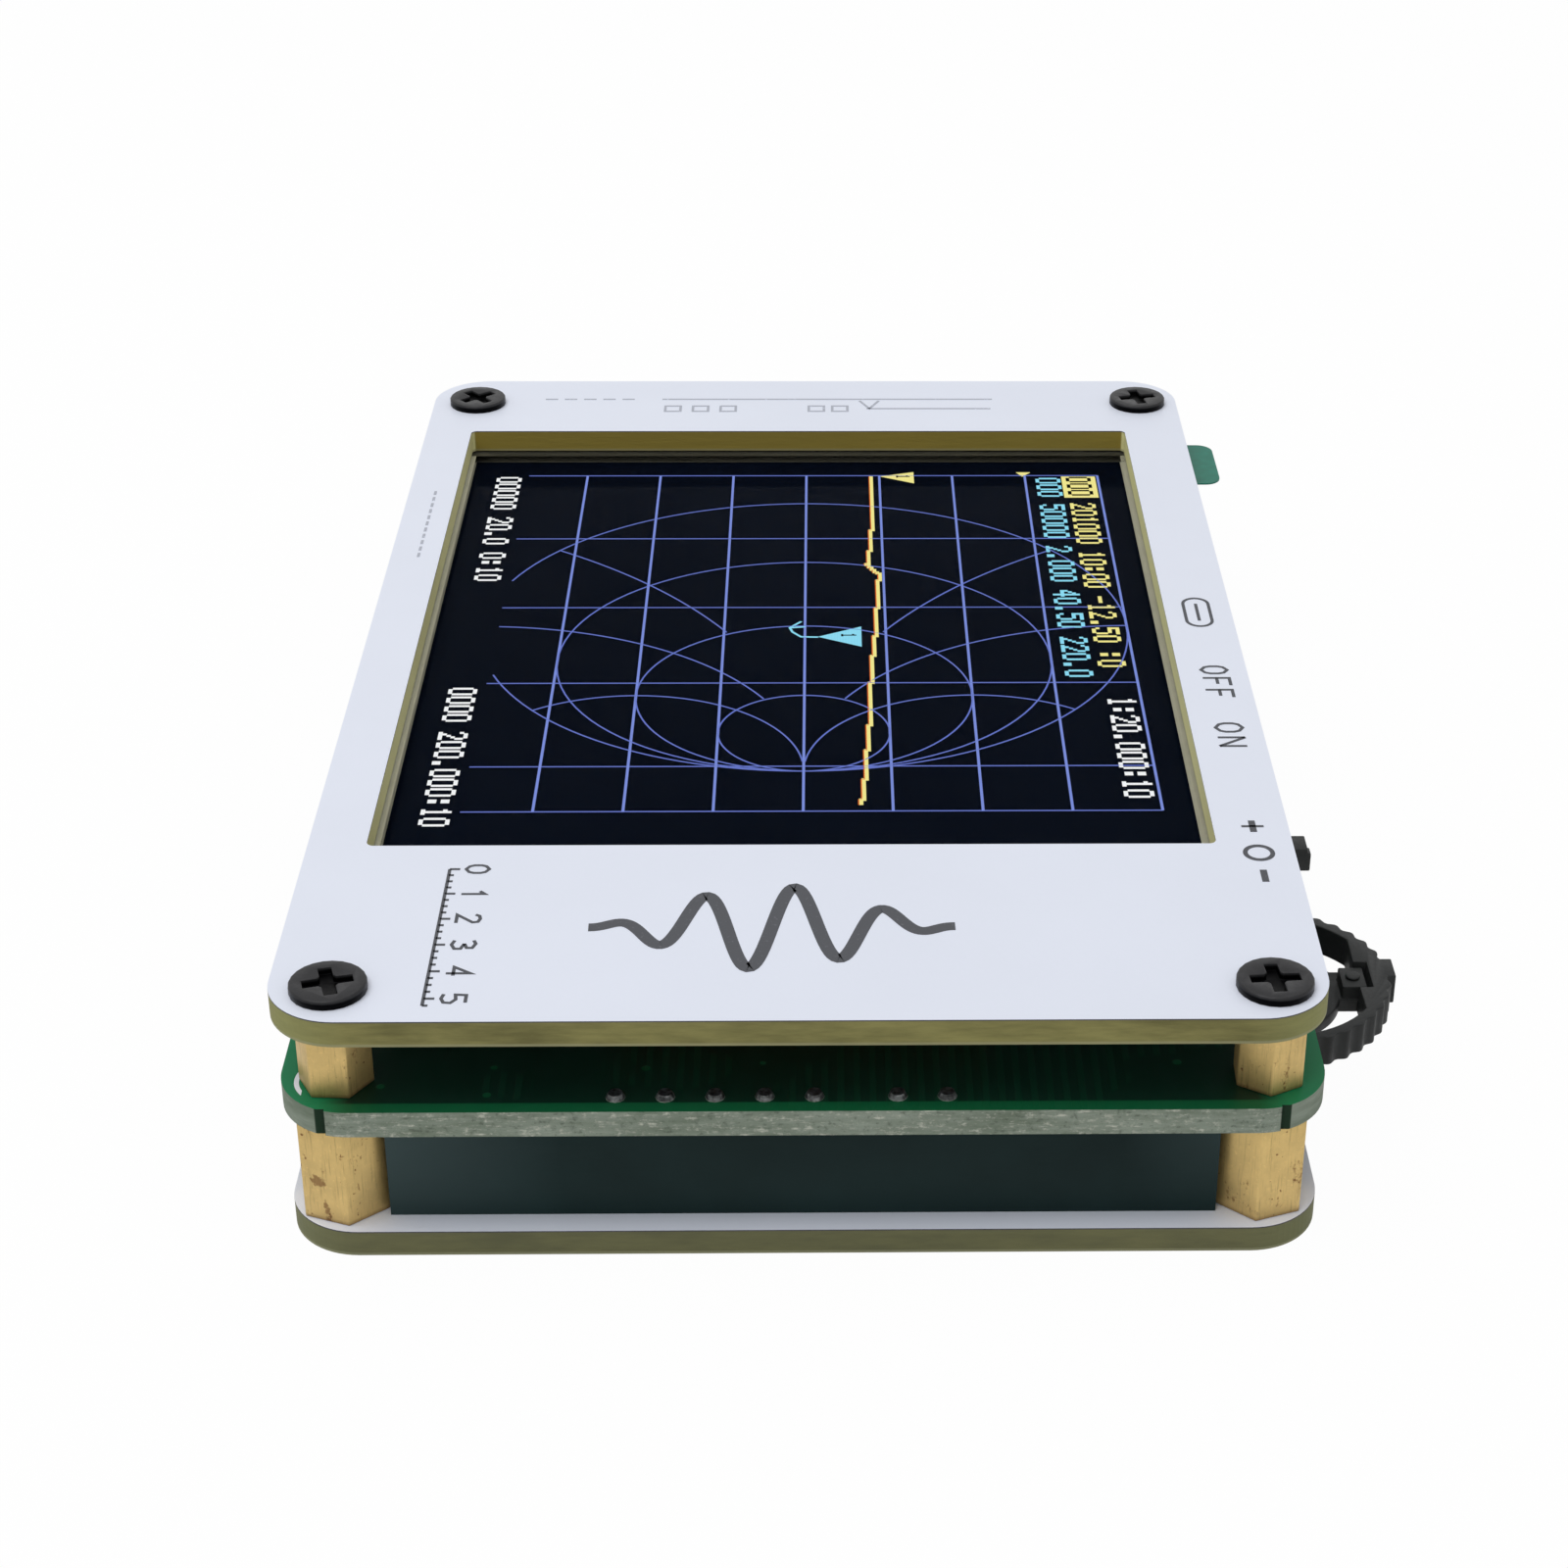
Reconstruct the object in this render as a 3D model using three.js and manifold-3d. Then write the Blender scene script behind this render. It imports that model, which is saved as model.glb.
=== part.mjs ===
// Pocket antenna analyzer: three stacked boards on brass spacers, a touch screen under the top cover's
// window, a battery and the radio parts under the main board, two antenna ports, a slide switch, a jog wheel.
// Millimetres, +Z up, +Y towards the antenna ports, +X towards the controls. The origin is the centre of the
// bottom cover's underside, on which the analyzer lies.
import * as THREE from 'three';
import { mergeVertices } from 'three/addons/utils/BufferGeometryUtils.js';
import Module from 'manifold-3d';

const wasm = await Module();
wasm.setup();

// Driving sizes
const board = {
  width: 54, length: 85.5, thickness: 1.5, cornerRadius: 3.8, mainShift: 0.2, bottomShift: 0.25,
};
const gap = { upper: 4, lower: 6 };
const fit = { running: 0.1, loose: 0.15, clear: 0.3 };
const overrun = 0.5;
const mergeDistance = 1e-4;
const steps = { corner: 8, hole: 20, rod: 24, small: 12, port: 24, lead: 8 };

// Heights of the stack, from the underside up
const bottomCoverTop = board.thickness;
const mainUnderside = bottomCoverTop + gap.lower;
const mainTop = mainUnderside + board.thickness;
const topCoverUnderside = mainTop + gap.upper;
const topFace = topCoverUnderside + board.thickness;

// Edges in plan: the main board and the bottom cover stand a little to the right of the top cover
const nearEdge = -board.length / 2;
const farEdge = board.length / 2;
const mainRight = board.width / 2 + board.mainShift;
const mainLeft = board.mainShift - board.width / 2;

// Controls along the right edge, from the near edge on, each placed from the one before it
const edgeRow = { jogInset: 15.55, switchGap: 11.8, socketGap: 5.9, chargerGap: 2 };

// The shield can over the radio parts, which leaves the rest of the length to the battery
const shieldCan = { x: 8.5, width: 20, farInset: 6.25, length: 18, height: 2.2, wall: 0.2 };
const shieldY = [farEdge - shieldCan.farInset - shieldCan.length, farEdge - shieldCan.farInset];

// Corners of the fastening pattern, shared by holes, spacers and screws
const fastening = {
  leftInset: 3.15, rightInset: 2.85, nearInset: 3, farInset: 4.3, hole: 1.15, thread: 1,
};
const columns = {
  left: fastening.leftInset - board.width / 2, right: board.width / 2 - fastening.rightInset,
};
const corners = [
  { name: 'near_left', x: columns.left, end: -1, inset: fastening.nearInset },
  { name: 'near_right', x: columns.right, end: -1, inset: fastening.nearInset },
  { name: 'far_left', x: columns.left, end: 1, inset: fastening.farInset },
  { name: 'far_right', x: columns.right, end: 1, inset: fastening.farInset },
].map((corner) => ({
  ...corner,
  y: corner.end * (board.length / 2 - corner.inset),
}));

// Solids from three.js geometry, and back

function solidOf(geometry) {
  const bare = geometry.index ? geometry.toNonIndexed() : geometry.clone();
  bare.deleteAttribute('normal');
  bare.deleteAttribute('uv');
  const merged = mergeVertices(bare, mergeDistance);
  return new wasm.Manifold(new wasm.Mesh({
    numProp: 3,
    vertProperties: merged.attributes.position.array,
    triVerts: new Uint32Array(merged.index.array),
  }));
}

function geometryOf(solid) {
  const mesh = solid.getMesh();
  const indexed = new THREE.BufferGeometry();
  const positions = new Float32Array(mesh.vertProperties);
  indexed.setAttribute('position', new THREE.BufferAttribute(positions, mesh.numProp));
  indexed.setIndex(new THREE.BufferAttribute(new Uint32Array(mesh.triVerts), 1));
  const flat = indexed.toNonIndexed();
  flat.computeVertexNormals();
  return flat;
}

const joined = (solids) => wasm.Manifold.union(solids);
const span = (place, length) => [place - length / 2, place + length / 2];
const middle = ([low, high]) => (low + high) / 2;
const centre = { x: 0, y: 0 };

// A box between two limits on each axis.
function block(x, y, z) {
  const geometry = new THREE.BoxGeometry(x[1] - x[0], y[1] - y[0], z[1] - z[0]);
  return solidOf(geometry.translate(middle(x), middle(y), middle(z)));
}

// An upright cylinder or cone between two heights.
function rod(radius, z, place = centre, sides = steps.rod, topRadius = radius) {
  const geometry = new THREE.CylinderGeometry(topRadius, radius, z[1] - z[0], sides);
  return solidOf(geometry.rotateX(Math.PI / 2).translate(place.x, place.y, middle(z)));
}

// An outline in plan, raised between two heights.
function slab(shape, z, curveSegments = steps.corner) {
  const options = { depth: z[1] - z[0], bevelEnabled: false, curveSegments };
  return solidOf(new THREE.ExtrudeGeometry(shape, options).translate(0, 0, z[0]));
}

const axes = {
  x: new THREE.Vector3(1, 0, 0),
  y: new THREE.Vector3(0, 1, 0),
  z: new THREE.Vector3(0, 0, 1),
  back: new THREE.Vector3(0, -1, 0),
};

// An outline drawn in Y and Z, carried along X.
function sectionAlongX(shape, x, curveSegments = steps.corner) {
  const options = { depth: x[1] - x[0], bevelEnabled: false, curveSegments };
  const geometry = new THREE.ExtrudeGeometry(shape, options);
  geometry.applyMatrix4(new THREE.Matrix4().makeBasis(axes.y, axes.z, axes.x));
  return solidOf(geometry.translate(x[0], 0, 0));
}

// An outline drawn in X and Z, carried along Y.
function sectionAlongY(shape, y, curveSegments = steps.corner) {
  const options = { depth: y[1] - y[0], bevelEnabled: false, curveSegments };
  const geometry = new THREE.ExtrudeGeometry(shape, options);
  geometry.applyMatrix4(new THREE.Matrix4().makeBasis(axes.x, axes.z, axes.back));
  return solidOf(geometry.translate(0, y[1], 0));
}

function roundedRectangle(x, y, radius) {
  const shape = new THREE.Shape();
  shape.moveTo(x[0] + radius, y[0]);
  shape.lineTo(x[1] - radius, y[0]);
  shape.absarc(x[1] - radius, y[0] + radius, radius, -Math.PI / 2, 0);
  shape.lineTo(x[1], y[1] - radius);
  shape.absarc(x[1] - radius, y[1] - radius, radius, 0, Math.PI / 2);
  shape.lineTo(x[0] + radius, y[1]);
  shape.absarc(x[0] + radius, y[1] - radius, radius, Math.PI / 2, Math.PI);
  shape.lineTo(x[0], y[0] + radius);
  shape.absarc(x[0] + radius, y[0] + radius, radius, Math.PI, Math.PI * 3 / 2);
  return shape;
}

// Materials
const finish = (color, roughness, metalness = 0) => (
  new THREE.MeshStandardMaterial({ color, roughness, metalness })
);
const materials = {
  whiteMask: finish(0xdfe2ee, 0.45),
  greenMask: finish(0x0d5a36, 0.35),
  brass: finish(0xc8a765, 0.4, 0.9),
  blackMetal: finish(0x2c2e30, 0.45, 0.6),
  steel: finish(0xc4c7cb, 0.3, 0.9),
  gold: finish(0xd9b45a, 0.3, 1),
  blackPlastic: finish(0x2b2d2f, 0.55),
  whitePlastic: finish(0xe8e6df, 0.6),
  darkGlass: finish(0x0a0c10, 0.1),
  clearGlass: finish(0x9fb0b8, 0.05),
  film: finish(0x4d8878, 0.3),
  tape: finish(0x23272a, 0.95),
  amber: finish(0xb8741c, 0.4),
  cell: finish(0x39424a, 0.4, 0.3),
  flexAmber: finish(0xa8651f, 0.45),
  chip: finish(0x1f2022, 0.6),
  leadRed: finish(0xb3261e, 0.5),
  leadBlack: finish(0x1c1c1e, 0.5),
};

const analyzer = new THREE.Group();
analyzer.name = 'antenna_analyzer';

function add(name, solid, material) {
  const mesh = new THREE.Mesh(geometryOf(solid), material);
  mesh.name = name;
  analyzer.add(mesh);
}

// Boards

const screenWindow = {
  leftMargin: 3.2, rightMargin: 4.2, nearMargin: 17.4, farMargin: 9.55, cornerRadius: 0.4,
};
const windowX = [screenWindow.leftMargin - board.width / 2, board.width / 2 - screenWindow.rightMargin];
const windowY = [nearEdge + screenWindow.nearMargin, farEdge - screenWindow.farMargin];

function boardPlate(bottom, shift = 0) {
  const plan = roundedRectangle(span(shift, board.width), span(0, board.length), board.cornerRadius);
  return slab(plan, [bottom, bottom + board.thickness]);
}

function cornerHoles(bottom) {
  const height = [bottom - overrun, bottom + board.thickness + overrun];
  return joined(corners.map((corner) => rod(fastening.hole, height, corner, steps.hole)));
}

function topCover() {
  const opening = roundedRectangle(windowX, windowY, screenWindow.cornerRadius);
  const cut = slab(opening, [topCoverUnderside - overrun, topFace + overrun]);
  return boardPlate(topCoverUnderside).subtract(cut).subtract(cornerHoles(topCoverUnderside));
}

const countersink = { faceRadius: 2.05, depth: 1 };

function bottomCover() {
  const slope = (countersink.faceRadius - fastening.hole) / countersink.depth;
  const mouthRadius = countersink.faceRadius + slope * overrun;
  const sinks = corners.map((corner) => (
    rod(mouthRadius, [-overrun, countersink.depth], corner, steps.rod, fastening.hole)
  ));
  return boardPlate(0, board.bottomShift).subtract(cornerHoles(0)).subtract(joined(sinks));
}

// The pads for test wires along the near edge hold solder, and two break-off slots mark that edge.
const padRow = { pitch: 2.54, nearInset: 1.3, firstX: -9.44, count: 5, pairX: 4.97, pairCount: 2 };
const solderDome = { radius: 0.75, height: 0.3 };
const breakSlot = { width: 0.5, depth: 0.35, sideInset: 2.4 };

function solderDomes() {
  const row = (firstX, count) => Array.from({ length: count }, (_, k) => firstX + k * padRow.pitch);
  const places = [...row(padRow.firstX, padRow.count), ...row(padRow.pairX, padRow.pairCount)];
  const y = nearEdge + padRow.nearInset;
  const height = [mainTop - overrun, mainTop + solderDome.height];
  return joined(places.map((x) => (
    rod(solderDome.radius, height, { x, y }, steps.small, solderDome.radius / 2)
  )));
}

function mainBoard() {
  const slots = [mainLeft + breakSlot.sideInset, mainRight - breakSlot.sideInset].map((x) => (
    block(span(x, breakSlot.width), [nearEdge - overrun, nearEdge + breakSlot.depth],
      [mainUnderside - overrun, mainTop + overrun])
  ));
  return boardPlate(mainUnderside, board.mainShift)
    .subtract(cornerHoles(mainUnderside))
    .subtract(joined(slots))
    .add(solderDomes());
}

add('top_cover', topCover(), materials.whiteMask);
add('main_board', mainBoard(), materials.greenMask);
add('bottom_cover', bottomCover(), materials.whiteMask);

// Hexagonal spacers: the lower ones have a stud that passes through the main board into the upper ones.

const upperSpacer = { acrossFlats: 3.4, turns: [27, -2, 8, 20] };
const lowerSpacer = { acrossFlats: 4.4, boreDepth: 4, studRise: 1.4, turns: [9, -10, 25, 14] };
const hexSides = 6;

// A hexagonal bar with one corner facing -Y, turned by some degrees towards +X.
function hexagon(acrossFlats, z, turn, place) {
  const corner = acrossFlats / 2 / Math.cos(Math.PI / hexSides);
  const geometry = new THREE.CylinderGeometry(corner, corner, z[1] - z[0], hexSides);
  geometry.rotateX(Math.PI / 2).rotateZ(THREE.MathUtils.degToRad(turn));
  return solidOf(geometry.translate(place.x, place.y, middle(z)));
}

function upperSpacerSolid(corner, turn) {
  const bore = rod(fastening.hole, [mainTop - overrun, topCoverUnderside + overrun], corner, steps.hole);
  const body = hexagon(upperSpacer.acrossFlats, [mainTop, topCoverUnderside], turn, corner);
  return body.subtract(bore);
}

function lowerSpacerSolid(corner, turn) {
  const boreTop = bottomCoverTop + lowerSpacer.boreDepth;
  const bore = rod(fastening.hole, [bottomCoverTop - overrun, boreTop], corner, steps.hole);
  const studTop = mainTop + lowerSpacer.studRise;
  const stud = rod(fastening.thread, [mainUnderside - overrun, studTop], corner, steps.hole);
  const body = hexagon(lowerSpacer.acrossFlats, [bottomCoverTop, mainUnderside], turn, corner);
  return body.subtract(bore).add(stud);
}

corners.forEach((corner, k) => {
  add(`upper_spacer_${corner.name}`, upperSpacerSolid(corner, upperSpacer.turns[k]), materials.brass);
  add(`lower_spacer_${corner.name}`, lowerSpacerSolid(corner, lowerSpacer.turns[k]), materials.brass);
});

// Screws: flat black heads with a cross recess on top, countersunk ones below

const topScrew = { headRadius: 2, headHeight: 0.52, edgeRound: 0.08, reach: 1.9, turns: [15, 5, 40, 12] };
const bottomScrew = {
  headRadius: 1.9, headHeight: 0.9, headInset: 0.12, reach: 3.2, turns: [10, 35, -20, 5],
};
const recess = { length: 2.6, width: 0.7, hub: 0.62, topDepth: 0.42, bottomDepth: 0.5 };

// The cross recess, sunk between two heights.
function crossRecess(z, turn, corner) {
  const arms = [
    block(span(0, recess.length), span(0, recess.width), z),
    block(span(0, recess.width), span(0, recess.length), z),
    rod(recess.hub, z, centre, steps.small),
  ];
  return joined(arms).rotate([0, 0, turn]).translate([corner.x, corner.y, 0]);
}

function topScrewSolid(corner, turn) {
  const headTop = topFace + topScrew.headHeight;
  const rim = headTop - topScrew.edgeRound;
  const head = joined([
    rod(topScrew.headRadius, [topFace, rim], corner),
    rod(topScrew.headRadius, [rim, headTop], corner, steps.rod, topScrew.headRadius - topScrew.edgeRound),
  ]);
  const shankEnd = topCoverUnderside - topScrew.reach;
  const recessFloor = headTop - recess.topDepth;
  const shank = rod(fastening.thread, [shankEnd, recessFloor], corner, steps.hole);
  return joined([head, shank]).subtract(crossRecess([recessFloor, headTop + overrun], turn, corner));
}

function bottomScrewSolid(corner, turn) {
  const face = bottomScrew.headInset;
  const neck = face + bottomScrew.headHeight;
  const head = rod(bottomScrew.headRadius, [face, neck], corner, steps.rod, fastening.thread);
  const recessRoof = face + recess.bottomDepth;
  const shank = rod(fastening.thread, [recessRoof, bottomCoverTop + bottomScrew.reach], corner, steps.hole);
  return joined([head, shank]).subtract(crossRecess([face - overrun, recessRoof], turn, corner));
}

corners.forEach((corner, k) => {
  add(`top_screw_${corner.name}`, topScrewSolid(corner, topScrew.turns[k]), materials.blackMetal);
  add(`bottom_screw_${corner.name}`, bottomScrewSolid(corner, bottomScrew.turns[k]), materials.steel);
});

// Screen: mounting tape, backlight, liquid crystal cell, flexible circuit, touch panel and protective film,
// from the main board up. The cell's lower glass runs on as a ledge at the near end, where the flexible
// circuit is bonded.

const screen = { leftLap: 1.2, rightLap: 2.2, nearLap: 7.95, farLap: 2.7, ledge: 3.8 };
const screenX = [windowX[0] - screen.leftLap, windowX[1] + screen.rightLap];
const screenY = [windowY[0] - screen.nearLap, windowY[1] + screen.farLap];
const tape = { width: 4, endInset: 6.6, sideInset: 1, height: 1 };
const backlight = { height: 1.4, edgeInset: 0.4 };
const cell = { lowerGlass: 0.5, upperGlass: 0.45 };
const touchPanel = { height: 0.48, underGap: 0.05 };
const film = { thickness: 0.1, edgeInset: 0.6, topGap: 0.02 };
const filmTab = { width: 6.9, farInset: 0.7, reach: 4.3, drop: 0.42, bend: 1.3, cornerRadius: 1.1 };
const flex = { width: 20, thickness: 0.15, bond: 1.5, tail: 6.2, standOff: 0.3 };
const driver = { width: 17, length: 1.1, height: 0.25, flexGap: 0.4 };

const tapeTop = mainTop + tape.height;
const backlightTop = tapeTop + backlight.height;
const ledgeTop = backlightTop + cell.lowerGlass;
const cellTop = ledgeTop + cell.upperGlass;
const touchBottom = cellTop + touchPanel.underGap;
const touchTop = touchBottom + touchPanel.height;
const filmTop = topCoverUnderside - film.topGap;

function mountingTape(x) {
  return block(x, [screenY[0] + tape.endInset, screenY[1] - tape.endInset], [mainTop, tapeTop]);
}

function backlightTray() {
  const x = [screenX[0] + backlight.edgeInset, screenX[1] - backlight.edgeInset];
  const y = [screenY[0] + backlight.edgeInset, screenY[1] - backlight.edgeInset];
  return block(x, y, [tapeTop, backlightTop]);
}

function crystalCell() {
  const lower = block(screenX, screenY, [backlightTop, ledgeTop]);
  const upper = block(screenX, [screenY[0] + screen.ledge, screenY[1]], [backlightTop, cellTop]);
  return joined([lower, upper]);
}

function driverChip() {
  const y = [screenY[0] + flex.bond + driver.flexGap, screenY[0] + flex.bond + driver.flexGap + driver.length];
  return block(span(middle(screenX), driver.width), y, [ledgeTop, ledgeTop + driver.height]);
}

function touchGlass() {
  return block(screenX, [screenY[0] + screen.ledge, screenY[1]], [touchBottom, touchTop]);
}

// The film covers the touch panel, and its green tab dips and stands out past the cover's right edge.
function protectiveFilm() {
  const filmBottom = filmTop - film.thickness;
  const sheetX = [screenX[0] + film.edgeInset, screenX[1] - film.edgeInset];
  const sheet = block(sheetX, [screenY[0] + screen.ledge + film.edgeInset, screenY[1] - film.edgeInset],
    [filmBottom, filmTop]);
  const root = sheetX[1] - overrun;
  const bendStart = screenX[1] + fit.running;
  const bendEnd = bendStart + filmTab.bend;
  const tip = screenX[1] + filmTab.reach;
  const profile = new THREE.Shape();
  profile.moveTo(root, filmTop);
  profile.lineTo(root, filmBottom);
  profile.lineTo(bendStart, filmBottom);
  profile.lineTo(bendEnd, filmBottom - filmTab.drop);
  profile.lineTo(tip, filmBottom - filmTab.drop);
  profile.lineTo(tip, filmTop - filmTab.drop);
  profile.lineTo(bendEnd, filmTop - filmTab.drop);
  profile.lineTo(bendStart, filmTop);
  const farY = screenY[1] - filmTab.farInset;
  const tabY = [farY - filmTab.width, farY];
  const strip = sectionAlongY(profile, tabY);
  const plan = roundedRectangle([root, tip], tabY, filmTab.cornerRadius);
  const rootCorners = block([root, bendEnd], tabY, [touchBottom, topCoverUnderside]);
  const rounded = slab(plan, [filmBottom - filmTab.drop - overrun, topCoverUnderside]);
  return joined([sheet, strip.intersect(joined([rounded, rootCorners]))]);
}

// The flexible circuit leaves the ledge, folds back in a half round and lies on the main board.
function flexibleCircuit() {
  const upperFace = ledgeTop + flex.thickness;
  const centreZ = (upperFace + mainTop) / 2;
  const outerRadius = (upperFace - mainTop) / 2;
  const innerRadius = outerRadius - flex.thickness;
  const foldY = screenY[0] - flex.standOff;
  const profile = new THREE.Shape();
  profile.moveTo(screenY[0] + flex.bond, upperFace);
  profile.lineTo(foldY, upperFace);
  profile.absarc(foldY, centreZ, outerRadius, Math.PI / 2, Math.PI * 3 / 2);
  profile.lineTo(screenY[0] + flex.tail, mainTop);
  profile.lineTo(screenY[0] + flex.tail, mainTop + flex.thickness);
  profile.lineTo(foldY, mainTop + flex.thickness);
  profile.absarc(foldY, centreZ, innerRadius, Math.PI * 3 / 2, Math.PI / 2, true);
  profile.lineTo(screenY[0] + flex.bond, ledgeTop);
  return sectionAlongX(profile, span(middle(screenX), flex.width));
}

const tapeEdge = { left: screenX[0] + tape.sideInset, right: screenX[1] - tape.sideInset };
add('mounting_tape_left', mountingTape([tapeEdge.left, tapeEdge.left + tape.width]), materials.tape);
add('mounting_tape_right', mountingTape([tapeEdge.right - tape.width, tapeEdge.right]), materials.tape);
add('backlight', backlightTray(), materials.whitePlastic);
add('display_cell', crystalCell(), materials.darkGlass);
add('display_driver', driverChip(), materials.chip);
add('display_flex', flexibleCircuit(), materials.flexAmber);
add('touch_panel', touchGlass(), materials.clearGlass);
add('screen_film', protectiveFilm(), materials.film);

// Battery: a wrapped cell stuck to the bottom cover, its protection board, two leads, a plug and its socket. The
// flap at the wrap's near end fills the space between the spacers.

const battery = {
  leftGap: 0.7, rightGap: 2.2, height: 5, nearInset: 1.45, farGap: 9.85, edgeRadius: 1.4, cornerRadius: 1.6,
};
const endFlap = { sideLap: 0.1, thickness: 0.4 };
const adhesive = { thickness: 0.3, edgeInset: 3 };
const guardBoard = { sideInset: 2, length: 3.2, height: 3.4 };
const socket = { width: 6.4, length: 5.2, height: 3.3, wall: 0.6, x: -8, leadRoom: 7.9 };
const plug = { standOut: 1.6, length: 5.2 };
const lead = { radius: 0.5, spacing: 1.9, height: 0.6, ease: 3 };

// The battery fits between the near spacers, whose inner corners lie at these places.
const spacerRadius = lowerSpacer.acrossFlats / 2 / Math.cos(Math.PI / hexSides);
const spacerX = [columns.left + spacerRadius, columns.right - spacerRadius];
const cellBottom = bottomCoverTop + adhesive.thickness;
const cellX = [spacerX[0] + battery.leftGap, spacerX[1] - battery.rightGap];
const guardFar = shieldY[0] - battery.farGap;
const guardY = [guardFar - guardBoard.length, guardFar];
const cellY = [nearEdge + battery.nearInset, guardY[0] - fit.loose];
const cellZ = [cellBottom, cellBottom + battery.height];
const flapX = [spacerX[0] - endFlap.sideLap, spacerX[1] + endFlap.sideLap];

function batteryCell() {
  const section = roundedRectangle(cellX, cellZ, battery.edgeRadius);
  const plan = roundedRectangle(cellX, cellY, battery.cornerRadius);
  const flap = block(flapX, [cellY[0], cellY[0] + endFlap.thickness], [bottomCoverTop, cellZ[1]]);
  return sectionAlongY(section, cellY).intersect(slab(plan, cellZ)).add(flap);
}

function batteryAdhesive() {
  const x = [cellX[0] + adhesive.edgeInset, cellX[1] - adhesive.edgeInset];
  const y = [cellY[0] + adhesive.edgeInset, guardY[1]];
  return block(x, y, [bottomCoverTop, cellBottom]);
}

function protectionBoard() {
  const x = [cellX[0] + guardBoard.sideInset, cellX[1] - guardBoard.sideInset];
  return block(x, guardY, [cellBottom, cellBottom + guardBoard.height]);
}

const socketX = span(socket.x, socket.width);
const socketY = [guardY[1] + socket.leadRoom, guardY[1] + socket.leadRoom + socket.length];
const socketZ = [mainUnderside - socket.height, mainUnderside];
const cavityX = [socketX[0] + socket.wall, socketX[1] - socket.wall];
const cavityZ = [socketZ[0] + socket.wall, socketZ[1] - socket.wall];

function batterySocket() {
  const cavity = block(cavityX, [socketY[0] - overrun, socketY[1] - socket.wall], cavityZ);
  return block(socketX, socketY, socketZ).subtract(cavity);
}

const plugY = [socketY[0] - plug.standOut, socketY[0] - plug.standOut + plug.length];
const plugMiddleZ = middle(cavityZ);

function batteryPlug() {
  const x = [cavityX[0] + fit.loose, cavityX[1] - fit.loose];
  const z = [cavityZ[0] + fit.loose, cavityZ[1] - fit.loose];
  return block(x, plugY, z);
}

// Each lead leaves the protection board level, and enters the plug level.
function batteryLead(side) {
  const x = socket.x + side * lead.spacing / 2;
  const startZ = cellBottom + lead.radius + lead.height;
  const route = new THREE.CubicBezierCurve3(
    new THREE.Vector3(x, guardY[1], startZ),
    new THREE.Vector3(x, guardY[1] + lead.ease, startZ),
    new THREE.Vector3(x, plugY[0] - lead.ease, plugMiddleZ),
    new THREE.Vector3(x, plugY[0], plugMiddleZ),
  );
  const section = new THREE.Shape();
  section.absarc(0, 0, lead.radius, 0, Math.PI * 2);
  const options = { steps: steps.lead, curveSegments: steps.lead, bevelEnabled: false, extrudePath: route };
  return solidOf(new THREE.ExtrudeGeometry(section, options));
}

add('battery_adhesive', batteryAdhesive(), materials.whitePlastic);
add('battery_cell', batteryCell(), materials.cell);
add('battery_protection_board', protectionBoard(), materials.amber);
add('battery_socket', batterySocket(), materials.whitePlastic);
add('battery_plug', batteryPlug(), materials.whitePlastic);
add('battery_lead_red', batteryLead(-1), materials.leadRed);
add('battery_lead_black', batteryLead(1), materials.leadBlack);

// Power slide switch: a steel case with a slot, and a knob on a flange that slides behind the slot

const slideSwitch = {
  length: 8.6, depth: 4.3, height: 3, wall: 0.4, roof: 0.35, edgeInset: 0.3, travel: 2,
};
const knob = {
  width: 1.7, height: 1.5, axisDrop: 1.45, standOut: 3.25, stepDepth: 0.2, stepWidth: 0.8, stepDrop: 0.3,
};
const knobZ = mainUnderside - knob.axisDrop;
const knobFlange = { length: 4.4, height: 1.9, thickness: 0.8 };
const caseX = [mainRight - slideSwitch.edgeInset - slideSwitch.depth, mainRight - slideSwitch.edgeInset];
const switchNear = nearEdge + edgeRow.jogInset + edgeRow.switchGap;
const caseY = [switchNear, switchNear + slideSwitch.length];
const onY = middle(caseY) - slideSwitch.travel / 2;
const caseZ = [mainUnderside - slideSwitch.height, mainUnderside];

function switchCase() {
  const cavity = block(
    [caseX[0] + slideSwitch.wall, caseX[1] - slideSwitch.wall],
    [caseY[0] + slideSwitch.wall, caseY[1] - slideSwitch.wall],
    [caseZ[0] + slideSwitch.wall, caseZ[1] - slideSwitch.roof],
  );
  const slot = block(
    [caseX[1] - slideSwitch.wall - overrun, caseX[1] + overrun],
    [onY - knob.width / 2 - fit.clear, onY + slideSwitch.travel + knob.width / 2 + fit.clear],
    span(knobZ, knob.height + 2 * fit.clear),
  );
  return block(caseX, caseY, caseZ).subtract(cavity).subtract(slot);
}

// The knob at rest stands at ON, the near end of its travel.
function switchKnob() {
  const flangeRight = caseX[1] - slideSwitch.wall - fit.clear;
  const flangeX = [flangeRight - knobFlange.thickness, flangeRight];
  const flange = block(flangeX, span(onY, knobFlange.length), span(knobZ, knobFlange.height));
  const y = span(onY, knob.width);
  const z = span(knobZ, knob.height);
  const tip = caseX[1] + knob.standOut;
  const stem = block([flangeX[0], tip], y, z);
  const stepX = [flangeX[1], tip + knob.stepDepth];
  const step = block(stepX, [y[0], y[0] + knob.stepWidth], [z[0], z[1] - knob.stepDrop]);
  return joined([flange, stem, step]);
}

add('slide_switch_case', switchCase(), materials.steel);
add('slide_switch_knob', switchKnob(), materials.blackPlastic);

// Charging and data socket: a rolled steel shell with a contact tongue, under the main board's right edge

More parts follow.
